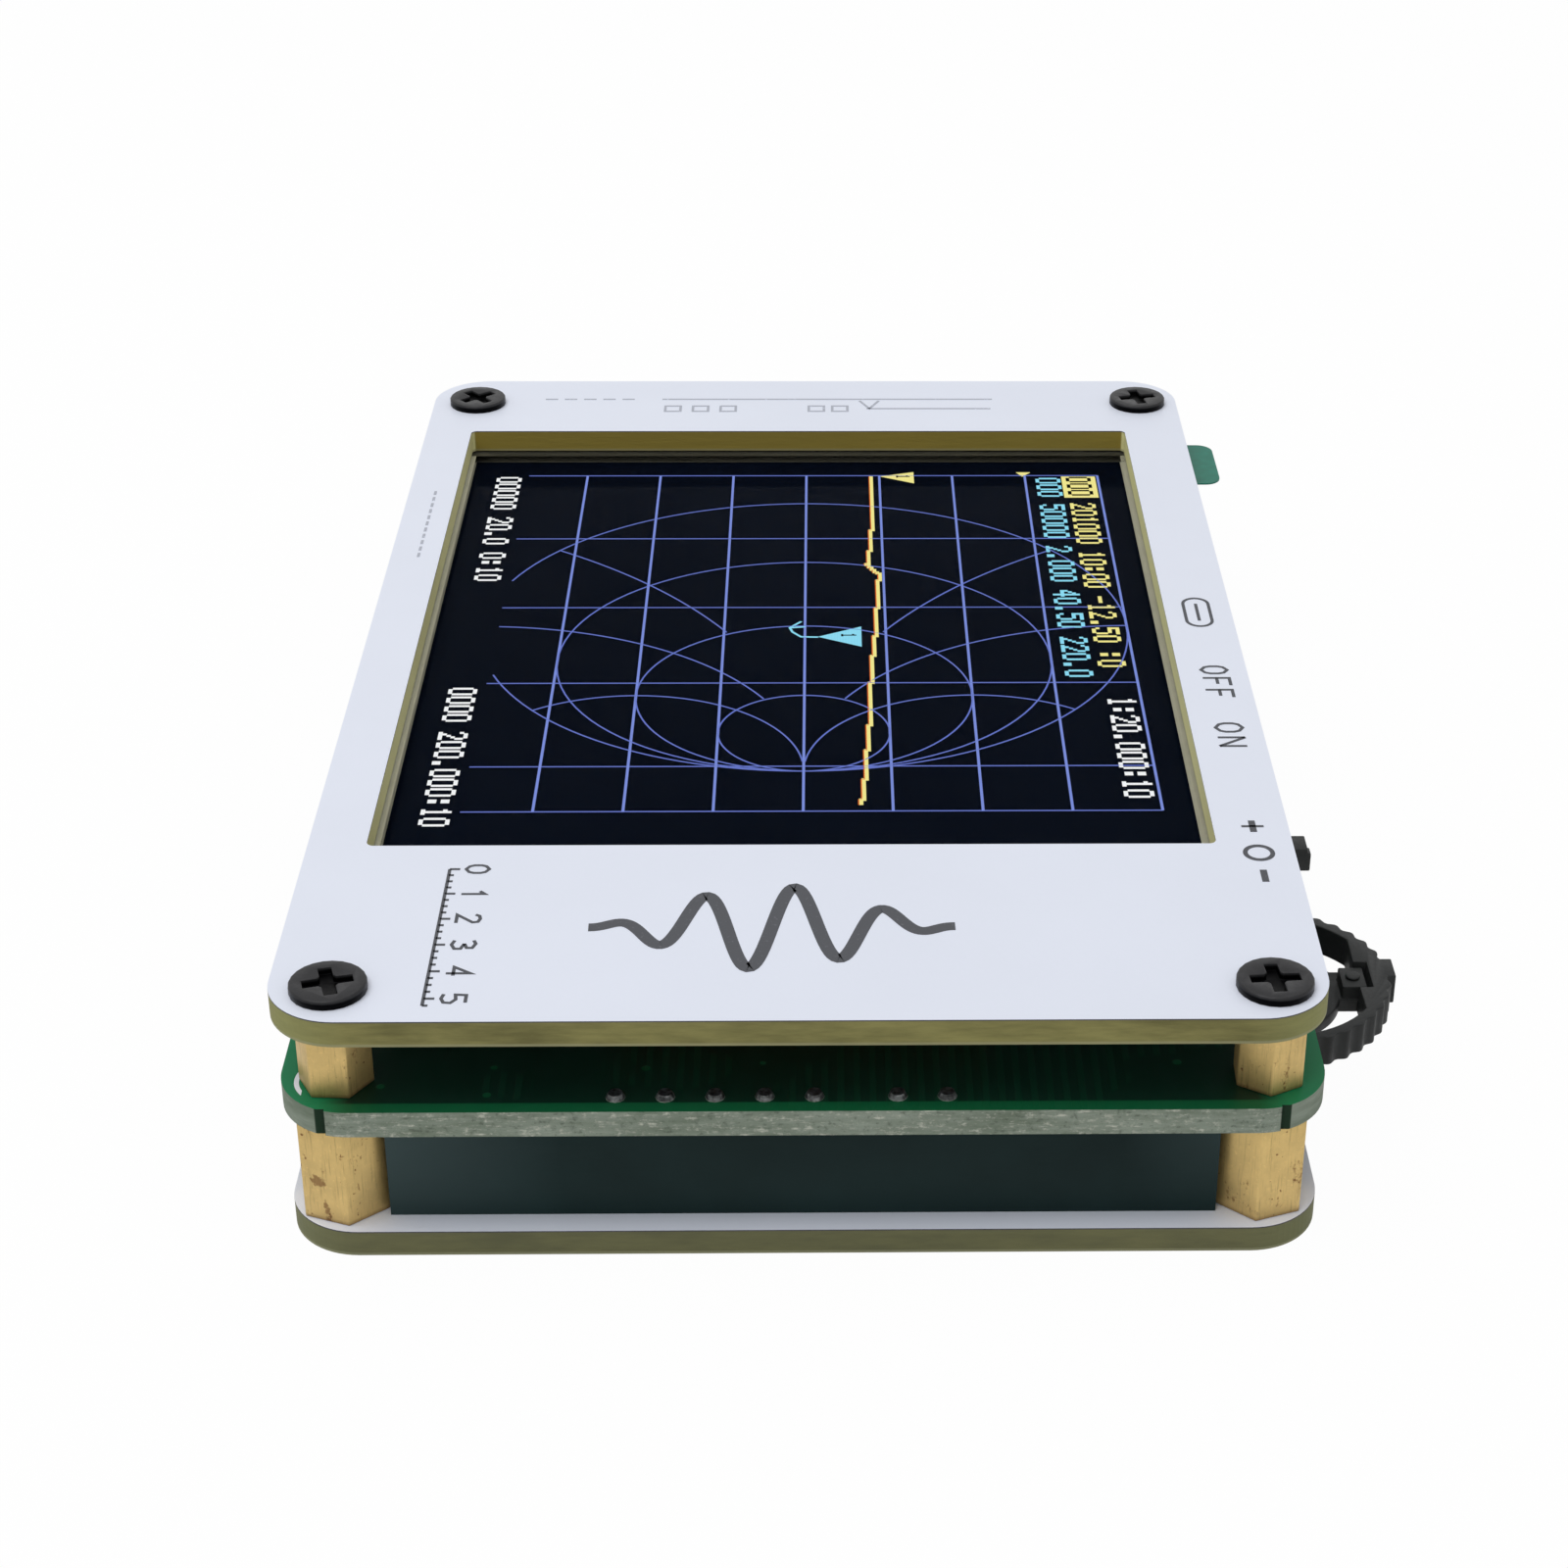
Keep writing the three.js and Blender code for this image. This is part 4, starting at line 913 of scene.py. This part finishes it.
class ANALYZER_OT_stage(AnalyzerOperator, bpy.types.Operator):
    """Sets up the camera, the light and the floor"""

    bl_idname = "analyzer.stage"
    bl_label = "Stage"

    def make(self, scene):
        looks = scene.analyzer_stage
        scene.view_settings.view_transform = "Standard"
        self.camera(scene, looks)
        self.floor(looks)
        self.world(scene, looks)
        self.lamp(looks)

    def camera(self, scene, looks):
        """A camera that is turned right by yaw, down by pitch, and then about its own line by roll."""
        data = bpy.data.cameras.new("camera")
        data.lens = looks.lens
        data.sensor_width = 36.0
        data.shift_x = looks.shift_x
        data.clip_start = 5 * MM
        data.clip_end = 10.0
        forward = Vector((
            math.sin(looks.yaw) * math.cos(looks.pitch),
            math.cos(looks.yaw) * math.cos(looks.pitch),
            -math.sin(looks.pitch),
        ))
        right = Vector((math.cos(looks.yaw), -math.sin(looks.yaw), 0))
        up = right.cross(forward)
        turned_right = right * math.cos(looks.roll) + up * math.sin(looks.roll)
        turned_up = up * math.cos(looks.roll) - right * math.sin(looks.roll)
        turn = Matrix((turned_right, turned_up, -forward)).transposed().to_4x4()
        camera = bpy.data.objects.new("camera", data)
        camera.matrix_world = Matrix.Translation(Vector(looks.place)) @ turn
        scene.collection.objects.link(camera)
        scene.camera = camera

    def floor(self, looks):
        """A pale floor just under the bottom cover."""
        bpy.ops.object.select_all(action="DESELECT")
        bpy.ops.mesh.primitive_plane_add(size=6.0, location=(0, 0, BASE_LOW.z - looks.floor_gap))
        floor = bpy.context.view_layer.objects.active
        floor.name = "floor"
        finish = Finish("floor")
        spot, (x, y, _) = finish.place()
        grain = finish.bump(finish.noise(spot, 400.0), 0.02 * MM)
        paper = finish.surface(Base_Color=looks.floor, Roughness=0.9, Normal=grain, Specular_IOR_Level=0.0)
        glow = finish.node("ShaderNodeEmission", inputs={"Color": WHITE_LIGHT, "Strength": 1.0})
        seen = finish.rays("Camera", "Glossy") * 0.97
        shader = finish.node("ShaderNodeMixShader", inputs={0: seen, 1: paper, 2: glow})
        # From below the floor is clear, and an opening under the cover, just inside its outline, lights it.
        above = 1.0 - finish.node("ShaderNodeNewGeometry", output="Backfacing")
        middle, half = (BASE_LOW + BASE_HIGH) / 2, (BASE_HIGH - BASE_LOW) / 2
        past_x = (abs(x - middle.x) - (half.x - looks.corner)).most(0.0)
        past_y = (abs(y - middle.y) - (half.y - looks.corner)).most(0.0)
        beside = past_x * past_x + past_y * past_y > (looks.corner - looks.floor_inset) ** 2
        dress(finish.clear(shader, above * beside), "floor")

    def world(self, scene, looks):
        """Even light on the object, against a white that the camera, mirrors and clear sheets see."""
        scene.world = bpy.data.worlds.new("studio")
        studio = Finish("studio", scene.world)
        seen = studio.rays("Camera", "Glossy", "Transmission")
        strength = studio.node(
            "ShaderNodeMapRange", inputs={"Value": seen, "To Min": looks.ambient, "To Max": 1.0}
        )
        sky = studio.node("ShaderNodeBackground", inputs={"Color": WHITE_LIGHT, "Strength": strength})
        studio.close(sky, "ShaderNodeOutputWorld")

    def lamp(self, looks):
        """One large soft lamp above, a little to the left and in front, aimed at the object."""
        data = bpy.data.lights.new("key", "AREA")
        data.shape = "SQUARE"
        data.size = looks.key_size
        data.energy = looks.key
        lamp = bpy.data.objects.new("key", data)
        lamp.location = Vector((-0.25, -0.15, 1.0)) * looks.key_height
        lamp.rotation_euler = (-lamp.location).to_track_quat("-Z", "Y").to_euler()
        bpy.context.scene.collection.objects.link(lamp)


class ANALYZER_OT_boards(AnalyzerOperator, bpy.types.Operator):
    """Finishes the three boards and the solder joints along the main board's near edge"""

    bl_idname = "analyzer.boards"
    bl_label = "Boards"

    def make(self, scene):
        looks = scene.analyzer_boards
        dress(cover_finish("top_cover_board", COVER_LOW.z, COVER_HIGH.z, looks, 0.0), "top_cover")
        dress(cover_finish("bottom_cover_board", BASE_LOW.z, BASE_HIGH.z, looks, 0.6), "bottom_cover")
        dress(main_board_finish(looks), "main_board")


class ANALYZER_OT_metal(AnalyzerOperator, bpy.types.Operator):
    """Rounds and finishes the spacers, screws, shells and antenna ports"""

    bl_idname = "analyzer.metal"
    bl_label = "Metal pieces"

    def make(self, scene):
        looks = scene.analyzer_metal
        brass = brass_finish(looks)
        black = screw_finish(looks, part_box("top_screw_near_left")[1].z)
        steel = metal_finish("bright_steel", looks.steel, 0.3)
        gold = metal_finish("gold_plating", looks.gold, 0.28)
        for corner in CORNERS:
            for level in ("upper", "lower"):
                piece = refined(f"{level}_spacer_{corner}", looks.edge)
                dress(brass, piece.name)
            dress(black, refined(f"top_screw_{corner}", looks.screw_edge).name)
            dress(steel, refined(f"bottom_screw_{corner}", looks.edge).name)
        for node in ("usb_shell", "slide_switch_case", "shield_can"):
            dress(steel, refined(node, looks.edge).name)
        for side in ("left", "right"):
            dress(gold, f"port_body_{side}", f"port_contact_{side}")
        dress(steel, "clock_crystal")


class ANALYZER_OT_plastic(AnalyzerOperator, bpy.types.Operator):
    """Rounds and finishes the moulded pieces, tapes, leads and chips"""

    bl_idname = "analyzer.plastic"
    bl_label = "Plastic pieces"

    def make(self, scene):
        looks = scene.analyzer_plastic
        black = plastic_finish("black_plastic", looks.black, 0.5, 3800.0, 0.012)
        white = plastic_finish("white_plastic", looks.white, 0.5, 2400.0, 0.006, 0.05)
        chip = plastic_finish("chip_epoxy", looks.chip, 0.55, 5200.0, 0.01)
        amber = plastic_finish("amber_tape", looks.amber, 0.35, 700.0, 0.01, 0.2, 0.4)
        tape = plastic_finish("mounting_tape", looks.tape, 0.9, 4200.0, 0.03)
        moving = {"slide_switch_knob": "power_knob", "jog_carriage": "jog_slider", "jog_wheel": "jog_lever"}
        for node in ("slide_switch_knob", "jog_carriage", "jog_wheel", "jog_base"):
            piece = refined(node, looks.edge, moving.get(node, "stack"), 28.0)
            dress(black, piece.name)
        dress(black, self.nub(looks).name, "usb_tongue")
        dress(white, *[f"port_insulator_{side}" for side in ("left", "right")])
        dress(white, "battery_socket", "battery_plug", "backlight", "battery_adhesive")
        dress(chip, *[f"mixer_{place}" for place in ("left", "middle", "right")])
        dress(chip, "microcontroller", "clock_generator", "charger_chip", "display_driver")
        dress(amber, "battery_protection_board")
        dress(tape, "mounting_tape_left", "mounting_tape_right")
        dress(wrap_finish(looks), "battery_cell")
        dress(flex_finish(looks), "display_flex")
        for name, paint in (("battery_lead_red", looks.red), ("battery_lead_black", looks.dark)):
            dress(plastic_finish(name, paint, 0.4, 900.0, 0.006), name)

    def nub(self, looks):
        """The low round nub on top of the wheel's post."""
        top, rise = looks.post_top, looks.nub_height
        bpy.ops.object.select_all(action="DESELECT")
        bpy.ops.mesh.primitive_cylinder_add(
            vertices=24, radius=looks.nub_radius, depth=rise, location=(*looks.nub_place, top + rise / 2)
        )
        piece = rounded(settled(bpy.context.view_layer.objects.active, "wheel_nub"), rise * 0.6, 3)
        bpy.ops.object.shade_smooth_by_angle(angle=math.radians(50))
        return ride_stack(piece, "jog_lever")


class ANALYZER_OT_small_parts(AnalyzerOperator, bpy.types.Operator):
    """Adds the resistors, the capacitors and the microcontroller's legs under the main board"""

    bl_idname = "analyzer.small_parts"
    bl_label = "Small parts"

    # Places in millimetres: X, Y, and whether the part lies along X
    resistors = (
        (-24.4, 12.5, False), (-22.8, 12.5, False), (-24.4, 16.5, False), (-20.6, 23.2, True),
        (-17.6, 23.2, True), (-9.6, 25.0, False), (-8.2, 25.0, False), (-6.8, 25.0, False),
        (23.6, 17.4, False), (22.2, 17.4, False), (-10.4, 36.6, True), (20.4, 31.5, False),
        (-4.2, 30.2, True), (-4.2, 32.0, True),
    )
    capacitors = (
        (-22.8, 16.5, False), (-22.0, 27.0, False), (-22.0, 30.0, False), (-14.6, 23.2, True),
        (-9.6, 28.6, False), (-8.2, 28.6, False), (23.6, 21.0, False), (22.2, 21.0, False),
        (20.8, 21.0, False), (24.0, 27.5, True), (20.9, 35.0, True), (-4.2, 27.0, True), (-18.6, 35.2, True),
    )
    # The outline of a leg in millimetres: how far out from the chip's side, and how far down from the board
    leg_outline = (
        (-0.1, 0.6), (0.25, 0.6), (0.45, 0.15), (0.85, 0.15), (0.85, 0), (0.35, 0), (0.15, 0.45),
        (-0.1, 0.45),
    )
    legs_to_a_side = 8

    def make(self, scene):
        looks = scene.analyzer_small_parts
        sunk, skin = 0.01 * MM, 0.03 * MM
        under = MAIN_LOW.z + sunk
        low = under - looks.height
        half_length, half_width = looks.length / 2, looks.width / 2
        inner = half_length - looks.end
        reach, depth = inner + skin, half_width - skin
        core = block("part_core", (-reach, -depth, low + skin), (reach, depth, under))
        left_end = block("part_end", (-half_length, -half_width, low), (-inner, half_width, under), skin)
        right_end = copied(left_end, (half_length + inner, 0, 0))
        ends = joined("part_ends", [left_end, right_end])
        for name, places, paint in (
            ("resistors", self.resistors, looks.dark), ("capacitors", self.capacitors, looks.tan),
        ):
            self.spread(core, name, places, "black_chip")
            dress(plastic_finish(name, paint, 0.5, 4200.0, 0.006), name)
        self.spread(ends, "tinned_ends", self.resistors + self.capacitors, "steel_shell")
        self.legs(looks, under)
        dress(metal_finish("tinned", looks.tin, 0.35, 0.9), "tinned_ends", "chip_legs")
        for model in (core, ends):
            bpy.data.objects.remove(model)

    def spread(self, part, name, places, slot):
        """Copies of a part at these places, as one piece."""
        quarter = math.pi / 2
        pieces = [copied(part, (x * MM, y * MM, 0), 0 if level else quarter) for x, y, level in places]
        return ride_stack(joined(name, pieces))

    def legs(self, looks, under):
        """Bent legs on the microcontroller's four sides, each from its side to the board."""
        low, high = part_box("microcontroller")
        quarter = math.pi / 2
        leg = plate("leg", in_metres(self.leg_outline), 0, looks.leg_width)
        moved(leg, ((high.x - low.x) / 2, -looks.leg_width / 2, under), -quarter, "X")
        middle_leg = (self.legs_to_a_side - 1) / 2
        offsets = [(k - middle_leg) * looks.leg_pitch for k in range(self.legs_to_a_side)]
        side = joined("leg_row", [copied(leg, (0, offset, 0)) for offset in offsets])
        middle = (low.x + high.x) / 2, (low.y + high.y) / 2, 0
        pieces = [copied(side, middle, turns * quarter) for turns in range(4)]
        for model in (leg, side):
            bpy.data.objects.remove(model)
        return ride_stack(joined("chip_legs", pieces))


class ANALYZER_OT_screen(AnalyzerOperator, bpy.types.Operator):
    """Finishes the screen's glass and draws the grid, the chart and the readings on it"""

    bl_idname = "analyzer.screen"
    bl_label = "Screen"

    # The grid: how many lines run along Y, the middle one's number from the right, and its last row
    columns, middle_column, last_row = 8, 4, 4.5
    # How much larger than a screen dot a character's dots are drawn, along X and Y
    growth = (1.42, 1.12)
    # The markers' numbers, as a share of other characters
    small = 0.55

    def make(self, scene):
        looks = scene.analyzer_screen
        self.looks = looks
        self.low = CELL_TOP + (TOUCH_LOW.z - CELL_TOP) * 0.2
        self.high = self.low + looks.thickness
        dress(glass_finish(looks), "display_cell")
        dress(touch_finish(looks), "touch_panel")
        dress(film_finish(scene.analyzer_plastic.tab), "screen_film")
        names = ("line", "faint", "trace", "rim", "second", "words", "dark")
        self.paints = {name: glow_finish(f"lit_{name}", getattr(looks, name)) for name in names}
        self.grid()
        self.chart()
        self.traces()
        self.markers()
        self.readings()

    def column(self, k):
        """X of a grid line along Y, counted from the right."""
        return self.looks.middle_x + (self.middle_column - k) * self.looks.pitch_x

    def row(self, j):
        """Y of a grid line along X, counted from the far end."""
        return self.looks.far_y - j * self.looks.pitch_y

    def shown(self, piece, paint):
        """Lights a drawn piece and puts it on the screen."""
        dress(self.paints[paint], piece.name)
        return ride_stack(piece)

    def drawn(self, name, lines, width, paint):
        """Lines of light."""
        return self.shown(strokes(name, lines, width, self.low, self.high), paint)

    def filled(self, name, points, paint):
        """A lit shape with its corners in millimetres."""
        return self.shown(plate(name, in_metres(points), self.low, self.high), paint)

    def row_of(self, name, words, base, start, scale=1.0):
        """Dotted characters, their base line and start given in millimetres."""
        looks = self.looks
        dot = (looks.dot_x * self.growth[0] * scale, looks.dot_y * self.growth[1] * scale)
        return dotted(name, words, dot, base * MM, start * MM, looks.character_pitch, self.low, self.high)

    def numbered(self, name, words, base, start, scale=1.0):
        """Dark digits that stand a little above the lit shape under them."""
        digits = moved(self.row_of(name, words, base, start, scale), (0, 0, self.looks.thickness * 0.6))
        return self.shown(digits, "dark")

    def grid(self):
        """Straight lines, the ones along X thinner and fainter."""
        looks = self.looks
        far, near = self.row(0), self.row(self.last_row)
        upright = [[(self.column(k), far), (self.column(k), near)] for k in range(self.columns)]
        rows = (0, 1, 2, 3, 4, self.last_row)
        level = [[(looks.left_x, self.row(j)), (self.column(0), self.row(j))] for j in rows]
        self.drawn("screen_grid_columns", upright, looks.line_width, "line")
        self.drawn("screen_grid_rows", level, looks.line_width * 0.6, "faint")

    def chart(self):
        """Circles of equal resistance, and arcs of equal reactance that end on a circle."""
        looks = self.looks
        # The outer circle reaches four columns and 1.8 rows from its middle.
        width, length = 4 * looks.pitch_x, 1.8 * looks.pitch_y
        centre = (self.column(self.middle_column), self.row(2.256))
        lines = []
        for part in (0.75, 0.5, 0.25):
            middle = (centre[0], centre[1] - (1 - part) * length)
            lines.append(arc(middle, (width * part, length * part), 0, 360, 96))
        rim = arc(centre, (width, length), -162, 162, 120)
        lines.append([point for point in rim if point[0] > looks.left_x])
        # Each arc's centre lies level with the near end, where all the circles meet.
        for reactance, last in ((0.5, 0.5), (1, 0.25), (2, 0.03)):
            for side in (-1, 1):
                radius = 1 / reactance
                points = arc((side * radius, -1), (radius, radius), 0, 360, 720)
                inside = [
                    (u, v) for u, v in points
                    if u * u + v * v <= 1 and u * u + (v + 1 - last) ** 2 >= last * last and v > -1
                ]
                inside.sort(key=lambda point: point[0] ** 2 + (point[1] + 1) ** 2)
                placed = [(centre[0] + u * width, centre[1] + v * length) for u, v in inside]
                lines.append([point for point in placed if point[0] > looks.left_x])
        self.drawn("screen_chart", lines, looks.line_width * 0.6, "faint")

    def traces(self):
        """The trace climbs in steps of one dot."""
        looks = self.looks
        bends = [
            (4.58, 30.0), (4.53, 19.5), (4.14, 15.4), (4.9, 13.9), (4.54, 5.5), (4.16, -1.9), (4.03, -6.7),
            (3.69, -13.0), (3.37, -17.8),
        ]
        steps = 8
        points = []
        for (x0, y0), (x1, y1) in zip(bends, bends[1:]):
            for k in range(steps):
                x = (x0 + (x1 - x0) * k / steps) * MM
                stepped = round(x / looks.dot_x) * looks.dot_x
                y = (y0 + (y1 - y0) * k / steps) * MM
                if points and stepped != points[-1][0]:
                    points.append((points[-1][0], y))
                points.append((stepped, y))
        width = looks.line_width
        self.drawn("screen_trace", [points], width * 1.45, "trace")
        shifted = [(x - width * 0.85, y) for x, y in points]
        self.drawn("screen_trace_rim", [shifted], width * 0.45, "rim")
        hook = in_metres([(0.9, 4.45), (-0.2, 4.5), (-0.75, 5.2), (-0.92, 5.8), (-0.2, 6.7)])
        bar = in_metres([(-0.92, 5.8), (0.1, 5.95)])
        self.drawn("screen_hook", [hook, bar], width * 0.9, "second")

    def markers(self):
        """Triangles on the traces, two of them numbered."""
        self.filled("screen_marker_first", [(7.65, 30.75), (7.65, 28.8), (5.3, 30.0)], "trace")
        self.filled("screen_marker_far", [(15.95, 30.7), (14.95, 30.7), (15.35, 29.95)], "trace")
        self.filled("screen_marker_second", [(3.65, 5.95), (3.65, 3.1), (0.9, 4.5)], "second")
        self.numbered("screen_number_first", "1", 6.4, 30.2, self.small)
        self.numbered("screen_number_second", "1", 2.35, 4.95, self.small)

    def readings(self):
        """Rows of digits on both sides, and one number in a lit box."""
        rows = (
            ("screen_words_left_far", "words", "00000 20.0 0:10", -21.8, 29.9),
            ("screen_words_left_near", "words", "0000 200.000:10", -21.8, -2.5),
            ("screen_words_right", "words", "1:20.000:10", 18.6, -4.0),
            ("screen_words_first", "trace", "    201000 10:00 -12.50 :0", 18.4, 29.9),
            ("screen_words_second", "second", "000 50000 2.000 40.50 220.0", 16.25, 29.7),
        )
        for name, paint, words, base, start in rows:
            self.shown(self.row_of(name, words, base, start), paint)
        self.filled("screen_box", [(18.1, 29.95), (20.5, 29.95), (20.5, 26.3), (18.1, 26.3)], "trace")
        self.numbered("screen_box_number", "000", 18.4, 29.85)


class ANALYZER_OT_print(AnalyzerOperator, bpy.types.Operator):
    """Prints the switch's words, the wheel's signs, a scale and a wave on the top cover"""

    bl_idname = "analyzer.print"
    bl_label = "Print"

    def make(self, scene):
        self.looks = scene.analyzer_labels
        self.low = COVER_HIGH.z - self.looks.thickness
        self.high = COVER_HIGH.z + self.looks.thickness
        self.ink = ink_finish("print_dark", self.looks.ink)
        self.faint = ink_finish("print_faint", self.looks.faint)
        self.switch_words()
        self.wheel_signs()
        self.socket_sign()
        self.scale()
        self.wave()
        self.faint_marks()

    def printed(self, name, lines, width, material):
        """Lines of ink on the top cover."""
        piece = strokes(name, lines, width, self.low, self.high)
        dress(material, name)
        return ride_stack(piece)

    def letters(self, word, base, start, height, width, pitch):
        """Single-stroke letters in a word that runs along -Y, with their tops towards +X."""
        return [
            [(base + v * height, start - (index * pitch + u * width)) for u, v in line]
            for index, letter in enumerate(word) for line in LETTERS[letter]
        ]

    def switch_words(self):
        """OFF and ON beside the power switch."""
        off = self.letters("OFF", 24.2 * MM, -3.95 * MM, 1.6 * MM, 0.95 * MM, 1.55 * MM)
        on = self.letters("ON", 24.25 * MM, -11.35 * MM, 1.6 * MM, 1.05 * MM, 1.75 * MM)
        self.printed("print_switch_words", off + on, self.looks.stroke, self.ink)

    def wheel_signs(self):
        """A plus and a minus for the two turns, and a ring for the push."""
        x, plus, press, minus = [part * MM for part in (25.0, -23.5, -26.4, -28.85)]
        arm, radius, bold = 0.62 * MM, 0.75 * MM, self.looks.stroke * 1.9
        self.printed("print_plus_line", [[(x - arm, plus), (x + arm, plus)]], self.looks.stroke, self.ink)
        self.printed("print_plus_bar", [[(x, plus - arm), (x, plus + arm)]], bold, self.ink)
        self.printed("print_minus", [[(x, minus - arm), (x, minus + arm)]], bold, self.ink)
        ring = arc((x, press), (radius, radius), 0, 360, 32)
        self.printed("print_press_ring", [ring], self.looks.stroke * 1.3, self.ink)

    def socket_sign(self):
        """A socket seen from its open end."""
        left, right, far, near = [part * MM for part in (24.05, 25.65, 5.6, 1.6)]
        radius = (right - left) / 2
        middle = (left + right) / 2
        outline = arc((middle, far - radius), (radius, radius), 0, 180, 12)
        outline += arc((middle, near + radius), (radius, radius), 180, 360, 12)
        outline.append(outline[0])
        tongue = [(middle, far - radius), (middle, near + radius)]
        self.printed("print_socket", [outline, tongue], self.looks.stroke, self.ink)

    def scale(self):
        """A scale of even ticks with the numbers 0 to 5."""
        base, start, pitch = -18.4 * MM, -27.9 * MM, 2.55 * MM
        tick, height, width = 0.55 * MM, 1.25 * MM, 0.8 * MM
        ticks, ticks_to_a_number = 22, 4
        lines = [[(base - tick, start), (base - tick, start - pitch * (ticks - 1) / ticks_to_a_number)]]
        for index in range(ticks):
            along = index * pitch / ticks_to_a_number
            length = tick if index % ticks_to_a_number == 0 else tick / 2
            lines.append([(base - tick, start - along), (base - tick + length, start - along)])
        for index, digit in enumerate("012345"):
            placed_at = start - index * pitch + width / 2
            lines += self.letters(digit, base + tick * 0.6, placed_at, height, width, pitch)
        self.printed("print_scale", lines, self.looks.stroke * 0.9, self.ink)

    def wave(self):
        """A wave that swells and dies away."""
        start, length, y, height = -11.1 * MM, 19.2 * MM, -33.9 * MM, 4.1 * MM
        count, waves = 144, 4
        points = []
        for k in range(count + 1):
            t = k / count
            swell = math.sin(math.pi * t) ** 1.5
            points.append((start + length * t, y + height * swell * math.sin(2 * math.pi * waves * t)))
        self.printed("print_wave", [points], self.looks.motif_stroke, self.ink)

    def faint_marks(self):
        """Plain dashes, lines, boxes and an arrow in place of small print, at the far and left edges."""
        y, low_y, side_x = 39.2, 37.4, -25.2
        marks = [[(x, y), (x + 0.9, y)] for x in (-19, -17.6, -16.2, -14.8, -13.4)]
        marks += [[(-10.5, y), (13.6, y)], [(4.4, low_y), (13.4, low_y)]]
        for left in (-10.2, -8.2, -6.2, 0.2, 1.9):
            right, low, high = left + 1.1, 36.9, 37.9
            marks.append([(left, low), (right, low), (right, high), (left, high), (left, low)])
        marks.append([(3.9, 38.9), (4.6, 37.4), (5.3, 38.9)])
        marks += [[(side_x, 12 + k), (side_x, 12.6 + k)] for k in range(11)]
        lines = [in_metres(mark) for mark in marks]
        self.printed("print_faint", lines, self.looks.stroke * 0.9, self.faint)


# Panel and registration

CLASSES = (
    BoardLooks, MetalLooks, PlasticLooks, SmallPartLooks, ScreenLooks, LabelLooks, StageLooks,
    ANALYZER_OT_stage, ANALYZER_OT_boards, ANALYZER_OT_metal, ANALYZER_OT_plastic, ANALYZER_OT_small_parts,
    ANALYZER_OT_screen, ANALYZER_OT_print,
)
GROUPS = {
    "analyzer_boards": BoardLooks,
    "analyzer_metal": MetalLooks,
    "analyzer_plastic": PlasticLooks,
    "analyzer_small_parts": SmallPartLooks,
    "analyzer_screen": ScreenLooks,
    "analyzer_labels": LabelLooks,
    "analyzer_stage": StageLooks,
}
OPERATORS = [kind for kind in CLASSES if issubclass(kind, bpy.types.Operator)]


class ANALYZER_PT_panel(bpy.types.Panel):
    """Lists the analyzer's operators and settings"""

    bl_idname = "ANALYZER_PT_panel"
    bl_label = "Antenna analyzer"
    bl_space_type = "VIEW_3D"
    bl_region_type = "UI"
    bl_category = "Analyzer"

    def draw(self, context):
        for kind in OPERATORS:
            self.layout.operator(kind.bl_idname)
        for group, kind in GROUPS.items():
            box = self.layout.box()
            for name in kind.__annotations__:
                box.prop(getattr(context.scene, group), name)


def register():
    for kind in (*CLASSES, ANALYZER_PT_panel):
        bpy.utils.register_class(kind)
    for name, kind in GROUPS.items():
        setattr(bpy.types.Scene, name, PointerProperty(type=kind))


def unregister():
    for name in GROUPS:
        delattr(bpy.types.Scene, name)
    for kind in (ANALYZER_PT_panel, *reversed(CLASSES)):
        bpy.utils.unregister_class(kind)


def main():
    register()
    bpy.ops.analyzer.stage()
    bpy.ops.analyzer.boards()
    bpy.ops.analyzer.metal()
    bpy.ops.analyzer.plastic()
    bpy.ops.analyzer.small_parts()
    bpy.ops.analyzer.screen()
    bpy.ops.analyzer.print()


if __name__ == "__main__":
    main()
